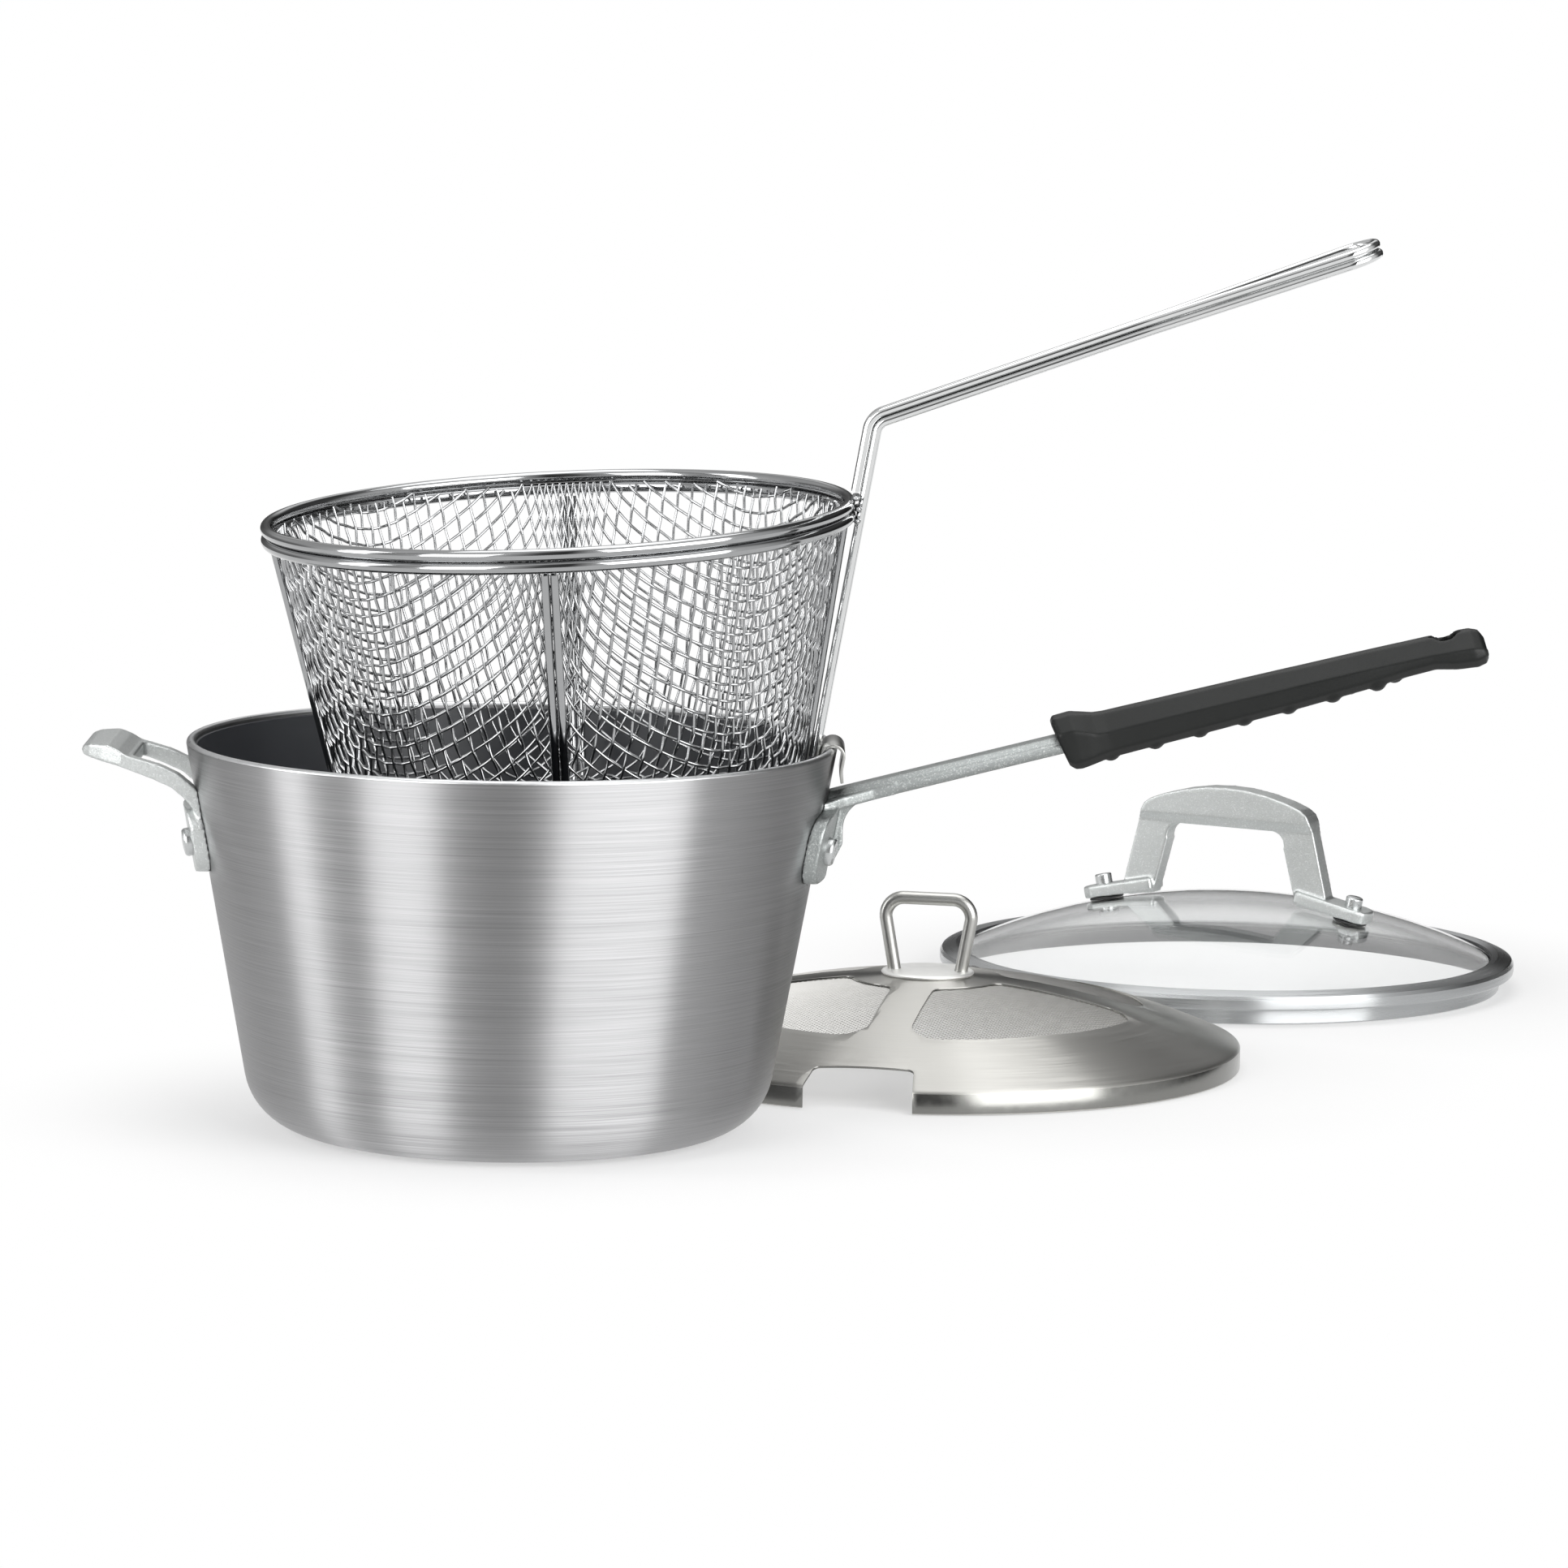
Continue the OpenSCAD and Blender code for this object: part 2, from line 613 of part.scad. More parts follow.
// A hairpin of handle wire: two legs, the bend, two bars and the loop that joins them.
// layer 0 is the lower wire, whose legs run down to the ribs; layer 1 lies on it and ends on the rings
module handle_hairpin(layer, leg_end) {
    r = bend_r + layer * wire_step;
    bar_foot = bend_centre + r * bar_up;
    spread_at = basket_handle_len - end_loop_r - (end_loop_r - wire_step / 2 * cos(loop_spread)) / sin(loop_spread);
    loop_at = basket_handle_len - end_loop_r;
    touch = [loop_at - end_loop_r * sin(loop_spread), end_loop_r * cos(loop_spread)];
    for (side = [-1, 1]) {
        y = [0, side * wire_step / 2, 0];
        rod(leg_end + y, bend_centre - r * leg_out + y, handle_wire_d, wire_lap);
        xz_arc(bend_centre + y, r, 90 + basket_handle_rise, 180 - leg_lean, handle_wire_d);
        rod(bar_foot + y, bar_foot + spread_at * bar_dir + y, handle_wire_d, wire_lap);
        translate(bar_foot + spread_at * bar_dir + y) sphere(d = handle_wire_d + bend_swell, $fn = 24);
        rod(bar_foot + spread_at * bar_dir + y, bar_foot + touch[0] * bar_dir + [0, side * touch[1], 0],
            handle_wire_d, wire_lap);
    }
    translate(bar_foot + loop_at * bar_dir) rotate([0, -basket_handle_rise, 0])
        rotate([0, 0, -90 - loop_spread]) rotate_extrude(angle = 180 + 2 * loop_spread, $fn = 96)
            translate([end_loop_r, 0]) circle(d = handle_wire_d + bend_swell, $fn = 24);
}

module basket_handle_lower_loop() {
    color(chrome) hang_on_rim() handle_hairpin(0, on_leg(leg_low_z));
}

module basket_handle_upper_loop() {
    color(chrome) hang_on_rim()
        handle_hairpin(1, on_leg(1.2) - wire_step * leg_out);
}

// Strip folded over the rim, drawn beside the leg: local x out of the pot, local z up along the leg
module hook_side() {
    inner_len = 18;
    outer_len = 6;
    lip_len = 3.8;
    translate([-hook_r - hook_t, -inner_len]) square([hook_t, inner_len]);
    difference() {
        circle(r = hook_r + hook_t);
        circle(r = hook_r);
        translate([-20, -40]) square([40, 40]);
    }
    translate([hook_r, -outer_len]) square([hook_t, outer_len]);
    translate([hook_r, -outer_len]) rotate([0, 0, 18]) translate([0, -lip_len]) square([hook_t, lip_len]);
}

module basket_rim_hook() {
    color(chrome) hang_on_rim() translate(hook_centre) rotate([0, leg_lean, 0])
        translate([0, hook_w / 2, 0]) rotate([90, 0, 0]) linear_extrude(hook_w) hook_side();
}

// ---- Lids: half section of a dome shell that falls by rise at radius r_edge, lying below z_top
function dome_r(r_edge, rise) = (r_edge * r_edge + rise * rise) / 2 / rise;

module dome_section(r_edge, rise, z_top, t, r_in = 0, r_out = 1000) {
    R = dome_r(r_edge, rise);
    intersection() {
        difference() {
            translate([0, z_top - R]) circle(r = R, $fn = 720);
            translate([0, z_top - R]) circle(r = R - t, $fn = 720);
        }
        translate([r_in, z_top - rise - 2 * t]) square([min(r_edge, r_out) - r_in, rise + 4 * t]);
    }
}

splatter_r = pot_rim_d / 2 + splatter_overhang;
splatter_at = (pot_r(skirt_h) + splatter_r + lid_gap) * [cos(splatter_bearing), sin(splatter_bearing), 0];
splatter_top = skirt_h + splatter_rise;

module place_splatter() {
    translate(splatter_at) rotate([0, 0, splatter_turn]) children();
}

// One window outline: a quarter ring between two spokes, with round corners
module window_outline(grow = 0) {
    corner = 9;
    offset(r = corner + grow, $fn = 32) offset(delta = -corner) intersection() {
        difference() {
            circle(r = window_r_out, $fn = 144);
            circle(r = window_r_in, $fn = 96);
        }
        translate([spoke_w / 2, spoke_w / 2]) square(window_r_out);
    }
}

module notch_outline() {
    y0 = -splatter_r + notch_depth;
    offset(r = 3, $fn = 24) offset(delta = -3)
        polygon([[-notch_w / 2, y0], [notch_w / 2, y0], [notch_w / 2 + 3, y0 - notch_depth - 10],
                 [-notch_w / 2 - 3, y0 - notch_depth - 10]]);
}

module splatter_lid_shell() {
    color(brushed) place_splatter() difference() {
        rotate_extrude($fn = 180) {
            dome_section(splatter_r, splatter_rise, splatter_top, sheet_t);
            translate([splatter_r - sheet_t, 0]) square([sheet_t, skirt_h - 0.1]);
        }
        for (i = [0 : 3]) rotate([0, 0, i * 90]) translate([0, 0, skirt_h]) linear_extrude(splatter_rise)
            window_outline();
        translate([0, 0, -1]) linear_extrude(splatter_top) notch_outline();
        for (side = [-1, 1]) translate([side * loop_foot, 0, 0]) cylinder(h = 60, d = loop_hole_d);
    }
}

screen_t = 0.5;
module splatter_lid_screen() {
    R = dome_r(splatter_r, splatter_rise);
    color("#c9cac9") place_splatter() rotate_extrude($fn = 180) intersection() {
        difference() {
            translate([0, splatter_top - R]) circle(r = R - sheet_t, $fn = 720);
            translate([0, splatter_top - R]) circle(r = R - sheet_t - screen_t, $fn = 720);
        }
        translate([window_r_in - 5, 0]) square([window_r_out - window_r_in + 10, splatter_top]);
    }
}

// Centre disc and wire loop; the loop's feet pass through the disc and the dome
disc_t = 1.2;
loop_foot = 14.1;
loop_corner_r = 7;
loop_flare = 7;
disc_z = splatter_top + 0.1;
loop_shank_d = loop_wire_d - 1.4;
loop_hole_d = loop_shank_d + 2 * seat_gap;
module splatter_lid_disc() {
    color(brushed) place_splatter() translate([0, 0, disc_z]) difference() {
        cylinder(h = disc_t, d1 = disc_d, d2 = disc_d - 1.6, $fn = 96);
        for (side = [-1, 1]) translate([side * loop_foot, 0, -1]) cylinder(h = 4, d = loop_hole_d);
    }
}

module splatter_lid_loop() {
    foot_z = disc_z + disc_t + wire_lap + loop_wire_d / 2 * sin(loop_flare) + seat_gap;
    top_z = disc_z + disc_t + loop_h - loop_wire_d / 2;
    shoulder_x = loop_foot + (top_z - foot_z) * tan(loop_flare) - loop_corner_r * (1 - sin(loop_flare));
    leg_top_z = top_z - loop_corner_r * (1 - sin(loop_flare));
    color(brushed) place_splatter() {
        for (side = [0, 180]) rotate([0, 0, side]) {
            rod([loop_foot, 0, foot_z], [shoulder_x + loop_corner_r * cos(loop_flare), 0,
                top_z - loop_corner_r * (1 + sin(loop_flare))], loop_wire_d, wire_lap);
            xz_arc([shoulder_x, 0, top_z - loop_corner_r], loop_corner_r, -loop_flare, 90, loop_wire_d);
            translate([loop_foot, 0, disc_z - 2]) cylinder(h = foot_z - disc_z + 2.6, d = loop_shank_d);
        }
        rod([-shoulder_x, 0, top_z], [shoulder_x, 0, top_z], loop_wire_d, wire_lap);
    }
}

// ---- Glass lid
glass_lid_r = pot_rim_d / 2 + glass_overhang;
glass_at = splatter_at + (splatter_r + glass_lid_r + lid_gap) * [cos(glass_bearing), sin(glass_bearing), 0];
glass_edge_r = glass_lid_r - 7;
band_top_z = drop_h + band_h;
glass_edge_z = band_top_z - 2;
glass_top = glass_edge_z + glass_rise + 1;
drop_r = pot_r(lip_z) - pot_wall - 1;

module place_glass() {
    translate(glass_at) rotate([0, 0, glass_turn]) children();
}

module glass_dome() {
    R = dome_r(glass_edge_r, glass_top - glass_edge_z);
    color("#cfd8d8", 0.5) place_glass() difference() {
        rotate_extrude($fn = 180) intersection() {
            difference() {
                translate([0, glass_top - R]) circle(r = R, $fn = 720);
                translate([0, glass_top - R]) circle(r = R - glass_t, $fn = 720);
            }
            translate([0, glass_edge_z - 3]) square([glass_edge_r, 60]);
        }
        at_bridge_screws() cylinder(h = 40, d = bridge_screw_d - 2, center = true);
    }
}

// Rolled steel band: an outer step that sits on the pot's rim and a smaller one that drops into it.
// It grips the glass's edge from below, outside and above.
module glass_lid_band() {
    r = glass_lid_r;
    edge_low = glass_edge_z - 4.2;
    color(brushed) place_glass() difference() {
        rotate_extrude($fn = 180)
            polygon([[drop_r - 1.5, 0], [drop_r, 0], [drop_r, drop_h], [r - 1, drop_h], [r, drop_h + 1],
                     [r, band_top_z - 2.5], [r - 1.8, band_top_z - 0.4], [r - 7, band_top_z + 0.6],
                     [glass_edge_r - 3, band_top_z + 0.6], [glass_edge_r - 3, band_top_z - 0.2],
                     [glass_edge_r + 0.3, band_top_z - 0.9], [glass_edge_r + 0.3, edge_low],
                     [drop_r - 1.5, edge_low]]);
        pane_space();
    }
}

// What the pane takes up, with its clearance
module pane_space() {
    R = dome_r(glass_edge_r, glass_top - glass_edge_z);
    rotate_extrude($fn = 180) intersection() {
        difference() {
            translate([0, glass_top - R]) circle(r = R + seat_gap, $fn = 720);
            translate([0, glass_top - R]) circle(r = R - glass_t - seat_gap, $fn = 720);
        }
        translate([glass_edge_r - 6, 0]) square([6.1, 60]);
    }
}

// Moves its children to the glass under each bridge screw, +Z out of the dome
module at_bridge_screws() {
    R = dome_r(glass_edge_r, glass_top - glass_edge_z);
    a = asin(bridge_screw_pitch / 2 / R);
    for (side = [-1, 1]) translate([0, 0, glass_top - R]) rotate([0, side * a, 0]) translate([0, 0, R])
        rotate([0, 0, side > 0 ? 0 : 180]) children();
}

gasket_t = 1;
foot_t = 5;
foot_w = 16;

module bridge_side() {
    top = bridge_top;
    foot_z = glass_top - 2.6;
    difference() {
        union() {
            intersection() {
                translate([0, top - 96]) circle(r = 96, $fn = 180);
                polygon([[-51.5, foot_z - 2], [51.5, foot_z - 2], [42.5, top - 6], [42.5, top + 1], [-42.5, top + 1],
                         [-42.5, top - 6]]);
            }
        }
        hull() {
            for (s = [-1, 1]) {
                translate([s * 19, top - 26]) circle(r = 6.5);
                translate([s * 36, foot_z - 12]) circle(r = 1);
            }
        }
    }
}

module glass_lid_bridge() {
    color(cast_grey) place_glass() difference() {
        union() {
            difference() {
                translate([0, bridge_t / 2, 0]) rotate([90, 0, 0]) linear_extrude(bridge_t) bridge_side();
                for (s = [-1, 1]) translate([s * 46.5, 0, bridge_top - 1]) rotate([0, s * 40, 0])
                    cube([16, 20, 8], center = true);
                sphere_above_gasket();
            }
            at_bridge_screws() translate([-26, -foot_w / 2, gasket_t]) bridge_foot();
        }
        at_bridge_screws() cylinder(h = 60, d = bridge_screw_d - 2, center = true);
    }
}

// Everything below the gasket's upper face
module sphere_above_gasket() {
    R = dome_r(glass_edge_r, glass_top - glass_edge_z);
    translate([0, 0, glass_top - R]) sphere(r = R + gasket_t + 0.3, $fn = 180);
}

module bridge_foot() {
    difference() {
        linear_extrude(foot_t) translate([17, foot_w / 2]) rounded_rect(34, foot_w, 4);
        translate([34, -1, foot_t]) rotate([0, 50, 0]) translate([-2, 0, 0]) cube([6, foot_w + 2, 4]);
    }
}

module glass_lid_gaskets() {
    color("#222222") place_glass() at_bridge_screws() translate([0, 0, 0.35])
        difference() {
            cylinder(h = gasket_t - 0.4, d = foot_w - 2);
            cylinder(h = 8, d = bridge_screw_d - 2, center = true);
        }
}

module glass_lid_screws() {
    color(brushed) place_glass() at_bridge_screws() {
        translate([0, 0, gasket_t + foot_t + seat_gap]) rotate_extrude() {
            square([bridge_screw_d / 2, 3.6]);
            square([bridge_screw_d / 2 - 0.8, 4.4]);
        }
        translate([0, 0, -glass_t - 2.5]) cylinder(h = glass_t + 2.5 + gasket_t + foot_t + 1, d = bridge_screw_d - 2.1);
        translate([0, 0, -glass_t - 4]) cylinder(h = 2.4, d = 9);
    }
}

module glass_lid_washers() {
    color(brushed) place_glass() at_bridge_screws() translate([0, 0, -glass_t - 1.5]) difference() {
        cylinder(h = 1.2, d = 15);
        cylinder(h = 8, d = bridge_screw_d - 2, center = true);
    }
}

pot_shell();
nonstick_lining();
long_handle();
long_handle_rivets();
grip_sleeve();
helper_handle();
helper_handle_rivets();
basket_top_ring();
basket_lower_ring();
basket_ribs();
basket_side_wires();
basket_hoop_wires();
basket_corner_wires();
basket_floor_wires();
basket_handle_upper_loop();
basket_handle_lower_loop();
basket_rim_hook();
splatter_lid_shell();
splatter_lid_screen();
splatter_lid_disc();
splatter_lid_loop();
glass_dome();
glass_lid_band();
glass_lid_bridge();
glass_lid_gaskets();
glass_lid_screws();
glass_lid_washers();
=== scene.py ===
"""A stovetop fry pot with its wire basket, splatter lid and glass lid."""
import math

import bmesh
import bpy
from mathutils import Matrix, Vector


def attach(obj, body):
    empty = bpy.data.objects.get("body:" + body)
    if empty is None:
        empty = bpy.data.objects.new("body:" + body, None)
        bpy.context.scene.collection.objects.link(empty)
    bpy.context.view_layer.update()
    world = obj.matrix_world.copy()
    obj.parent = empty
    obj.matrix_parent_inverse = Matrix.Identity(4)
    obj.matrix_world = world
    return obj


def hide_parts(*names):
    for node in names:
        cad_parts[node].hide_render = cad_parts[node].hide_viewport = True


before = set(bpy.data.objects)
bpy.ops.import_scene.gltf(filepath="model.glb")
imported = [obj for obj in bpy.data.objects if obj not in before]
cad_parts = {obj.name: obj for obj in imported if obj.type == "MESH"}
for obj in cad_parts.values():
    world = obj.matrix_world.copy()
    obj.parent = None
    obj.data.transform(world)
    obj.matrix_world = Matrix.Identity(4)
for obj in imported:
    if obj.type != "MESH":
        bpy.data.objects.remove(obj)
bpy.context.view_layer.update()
bpy.ops.object.select_all(action="DESELECT")

MM = 0.001
FULL_TURN = 2 * math.pi
sin, cos, tan, rad = math.sin, math.cos, math.tan, math.radians

# ---------------------------------------------------------------- sizes, in mm
# Pot: radii of its rim and base, height, wall, floor, round base corner, rounded lip, lining
POT_RIM_R, POT_BASE_R, POT_H, POT_WALL, POT_FLOOR, POT_CORNER = 125.0, 98.0, 150.0, 3.5, 5.0, 25.0
POT_TAPER = math.atan((POT_RIM_R - POT_BASE_R) / POT_H)
LIP_R = POT_WALL / 2 * cos(POT_TAPER)
LINING = 0.5

# Its handles: rivets, plates, the long handle's rise and bar, and the grip on the bar's end
RIVET_Z, RIVET_PITCH, RIVET_HEAD_R = 112.5, 41.0, 5.4
PLATE_T, PLATE_LOW, PLATE_HIGH = 5.0, 80, 142
HANDLE_RISE, BAR_W, BAR_T, BAR_Z, BAR_REACH = rad(14.6), 20.0, 6.6, 97.2, 93.0
GRIP_LEN = 168.5

# Basket: its wall, rings, wires, handle and hook, and how it leans as it hangs
BASKET_TAPER, BASKET_R, RING_D, BASKET_DEPTH, BASKET_CORNER = POT_TAPER + rad(1.3), 113.5, 4.6, 118.0, 16.0
CLOTH_D, RIB_D, HANDLE_D, WIRE_GAP = 1.2, 3.2, 3.5, 0.2
BASKET_RISE, BEND_H, BEND_R, BASKET_HANDLE = rad(16.6), 24.5, 5.4, 197.0
HOOK_HEIGHT, HOOK_R, HOOK_W, HOOK_T = 21.0, 3.5, 24.0, 1.2
BASKET_TILT, BASKET_LEAN = rad(3.2), rad(2.5)

# Lids: radius of the rim, rise of the dome, thickness, height of the edge, and how each is turned
SPLATTER_R, SKIRT_H, SPLATTER_RISE, SHEET = 128.5, 9.0, 27.0, 0.8
GLASS_R, GLASS_RISE, GLASS_T, DROP_H, BAND_H = 126.5, 25.0, 4.0, 6.5, 7.0
BRIDGE_TOP = 86.0
SPLATTER_TURN, GLASS_TURN = rad(-12), rad(-29.6)

# Where the lids lie: the splatter lid beside the pot, the glass lid beyond it
LID_GAP = 4.0
SPLATTER_BEARING, GLASS_BEARING = rad(44.8), rad(58.1)


def pot_r(z):
    """Outer radius of the pot at a height."""
    return POT_BASE_R + z * tan(POT_TAPER)


def over_floor(bearing, distance):
    """A step over the floor, from the pot's axis or from another lid's."""
    return distance * Vector((cos(bearing), sin(bearing), 0))


SPLATTER_AT = over_floor(SPLATTER_BEARING, pot_r(SKIRT_H) + SPLATTER_R + LID_GAP)
GLASS_AT = SPLATTER_AT + over_floor(GLASS_BEARING, SPLATTER_R + GLASS_R + LID_GAP)


# ---------------------------------------------------------------- modelling helpers
def object_mode():
    """Leaves edit mode."""
    if bpy.context.object and bpy.context.object.mode != "OBJECT":
        bpy.ops.object.mode_set(mode="OBJECT")


def pick(*chosen):
    """Selects some objects alone and makes the first of them active."""
    object_mode()
    bpy.ops.object.select_all(action="DESELECT")
    for obj in chosen:
        obj.select_set(True)
    if chosen:
        bpy.context.view_layer.objects.active = chosen[0]


def draw_chain(name, points, closed=False):
    """A chain of edges through points given in mm, drawn point by point and left in edit mode."""
    pick()
    bpy.ops.mesh.primitive_plane_add(size=MM)
    obj = bpy.context.object
    obj.name = obj.data.name = name
    bpy.ops.object.mode_set(mode="EDIT")
    bpy.ops.mesh.merge(type="CENTER")
    here = Vector()
    for index, point in enumerate(points):
        there = Vector(point) * MM
        if index == 0:
            bpy.ops.transform.translate(value=there - here)
        else:
            bpy.ops.mesh.extrude_vertices_move(TRANSFORM_OT_translate={"value": there - here})
        here = there
    if closed:
        mesh = bmesh.from_edit_mesh(obj.data)
        mesh.verts.ensure_lookup_table()
        for vert in mesh.verts:
            vert.select = False
        mesh.verts[0].select = mesh.verts[-1].select = True
        mesh.select_flush(True)
        bmesh.update_edit_mesh(obj.data)
        bpy.ops.mesh.edge_face_add()
    bpy.ops.mesh.select_all(action="SELECT")
    return obj


def tidy_faces():
    """Merges doubles and turns all faces outwards, in edit mode."""
    bpy.ops.mesh.select_all(action="SELECT")
    bpy.ops.mesh.remove_doubles(threshold=2e-6)
    bpy.ops.mesh.normals_make_consistent(inside=False)


def turned(name, profile, steps, closed=True):
    """A body turned round the Z axis from a profile of (radius, height) points."""
    obj = draw_chain(name, [(r, 0, z) for r, z in profile], closed)
    bpy.ops.mesh.spin(steps=steps, angle=FULL_TURN, center=(0, 0, 0), axis=(0, 0, 1))
    tidy_faces()
    object_mode()
    return obj


def pressed(name, outline, push):
    """A prism: an outline of 3-D points in mm, filled and pushed along a vector in mm."""
    obj = draw_chain(name, outline, closed=True)
    bpy.ops.mesh.edge_face_add()
    bpy.ops.mesh.extrude_region_move(TRANSFORM_OT_translate={"value": Vector(push) * MM})
    tidy_faces()
    object_mode()
    return obj


def rounded_wire(chain, diameter, sides, bends=0):
    """Turns drawn chains into round wire; with bends, it curves through their points."""
    pick(chain)
    bpy.ops.object.convert(target="CURVE")
    curve = bpy.context.object.data
    if bends:
        bpy.ops.object.mode_set(mode="EDIT")
        bpy.ops.curve.select_all(action="SELECT")
        bpy.ops.curve.spline_type_set(type="BEZIER")
        bpy.ops.curve.handle_type_set(type="AUTOMATIC")
        object_mode()
        curve.resolution_u = bends
    curve.bevel_depth = diameter / 2 * MM
    curve.bevel_resolution = sides
    curve.use_fill_caps = True
    bpy.ops.object.convert(target="MESH")
    bpy.ops.object.mode_set(mode="EDIT")
    tidy_faces()
    object_mode()
    return bpy.context.object


def wire(name, points, diameter, sides):
    """One round wire through points in mm."""
    return rounded_wire(draw_chain(name, points), diameter, sides)


def arc(cx, cz, radius, start, end, steps=8):
    """Points on an arc, angles in degrees from the first axis towards the second."""
    return [(cx + radius * cos(rad(start + (end - start) * i / steps)),
             cz + radius * sin(rad(start + (end - start) * i / steps))) for i in range(steps + 1)]


def place(obj, matrix):
    """Moves the mesh itself, given a matrix whose shift is in mm."""
    pick(obj)
    shifted = matrix.copy()
    shifted.translation = matrix.translation * MM
    obj.matrix_world = shifted
    bpy.ops.object.transform_apply(location=True, rotation=True, scale=True)
    return obj


def copy_of(obj, name, matrix):
    """A copy with its own mesh, moved by a matrix."""
    pick(obj)
    bpy.ops.object.duplicate()
    twin = bpy.context.object
    twin.name = twin.data.name = name
    return place(twin, matrix)


def joined(name, parts):
    """Several pieces as one mesh."""
    pick(*parts)
    bpy.ops.object.join()
    whole = bpy.context.object
    whole.name = whole.data.name = name
    return whole


def add_modifier(obj, kind, **settings):
    """Adds a modifier and applies it."""
    pick(obj)
    modifier = obj.modifiers.new(kind.title(), kind)
    for key, value in settings.items():
        setattr(modifier, key, value)
    bpy.ops.object.modifier_apply(modifier=modifier.name)


def cut(obj, cutter, operation="DIFFERENCE"):
    """Cuts or keeps what a cutter covers, then removes the cutter."""
    add_modifier(obj, "BOOLEAN", object=cutter, operation=operation, solver="EXACT")
    bpy.data.objects.remove(cutter)
    return obj


def casting(name, parts, hollow, grain):
    """Melts joined solids into one casting, clear of a hollow, with soft inner corners."""
    body = joined(name, parts)
    add_modifier(body, "REMESH", mode="VOXEL", voxel_size=0.5 * MM)
    cut(body, hollow)
    add_modifier(body, "REMESH", mode="VOXEL", voxel_size=grain * MM)
    add_modifier(body, "SMOOTH", factor=0.5, iterations=3)
    return body


def finished(obj, body, slot, material, *nodes, angle=35):
    """Shades a piece, gives it its finish and its place in the frame."""
    pick(obj)
    bpy.ops.object.shade_smooth_by_angle(angle=rad(angle))
    obj.data.materials.clear()
    obj.data.materials.append(material)
    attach(obj, body)
    if nodes:
        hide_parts(*nodes)
    return obj


def other_material(obj, material, chosen):
    """Gives the faces that a test picks a material of their own."""
    obj.data.materials.append(material)
    for face in obj.data.polygons:
        if chosen(face.center, face.normal):
            face.material_index = 1


def shift(x, y, z):
    """A move in mm."""
    return Matrix.Translation((x, y, z))


def turn(angle, axis):
    """A turn about an axis through the origin."""
    return Matrix.Rotation(angle, 4, axis)


# ---------------------------------------------------------------- materials
# Node settings that several patterns share
SMOOTH = {"interpolation_type": "SMOOTHSTEP"}
COLOUR = {"data_type": "RGBA"}
ADD, SUBTRACT, MULTIPLY = {"operation": "ADD"}, {"operation": "SUBTRACT"}, {"operation": "MULTIPLY"}
SMALLER, LARGER = {"operation": "MINIMUM"}, {"operation": "MAXIMUM"}
GLINT = (0.93, 0.94, 0.94, 1)


def hex_colour(code):
    """An sRGB hex colour as linear RGBA."""
    parts = [int(code[i:i + 2], 16) / 255 for i in (1, 3, 5)]
    return [p / 12.92 if p <= 0.04045 else ((p + 0.055) / 1.055) ** 2.4 for p in parts] + [1.0]


def add_node(tree, kind, settings=(), **inputs):
    """Adds a node with its settings; an input is a value or another node's output."""
    node = tree.nodes.new("ShaderNode" + kind)
    for key, value in dict(settings).items():
        setattr(node, key, value)
    for key, value in inputs.items():
        socket = node.inputs[int(key[2:])] if key.startswith("in") else node.inputs[key.replace("_", " ")]
        if isinstance(value, bpy.types.NodeSocket):
            tree.links.new(value, socket)
        else:
            socket.default_value = value
    return node


def new_material(name, colour, metallic, roughness, **extra):
    """A Principled material; extra sockets are set directly on the shader."""
    material = bpy.data.materials.new(name)
    material.use_nodes = True
    shader = material.node_tree.nodes["Principled BSDF"]
    shader.inputs["Base Color"].default_value = hex_colour(colour)
    shader.inputs["Metallic"].default_value = metallic
    shader.inputs["Roughness"].default_value = roughness
    for key, value in extra.items():
        shader.inputs[key.replace("_", " ")].default_value = value
    return material, material.node_tree, shader


def shades(colour, dark, light):
    """A colour made darker and lighter by two factors."""
    base = hex_colour(colour)[:3]
    return [c * dark for c in base] + [1.0], [min(1.0, c * light) for c in base] + [1.0]


def patterned(tree, shader, colour, tones, pattern, low, high):
    """Lets a pattern shade a colour between two tones, and the roughness between two values."""
    rough = add_node(tree, "MapRange", (), Value=pattern, in1=0.3, in2=0.7, in3=low, in4=high)
    tree.links.new(rough.outputs[0], shader.inputs["Roughness"])
    dark, light = shades(colour, *tones)
    blend = add_node(tree, "Mix", COLOUR, in0=pattern, in6=dark, in7=light).outputs[2]
    tree.links.new(blend, shader.inputs["Base Color"])
    return blend


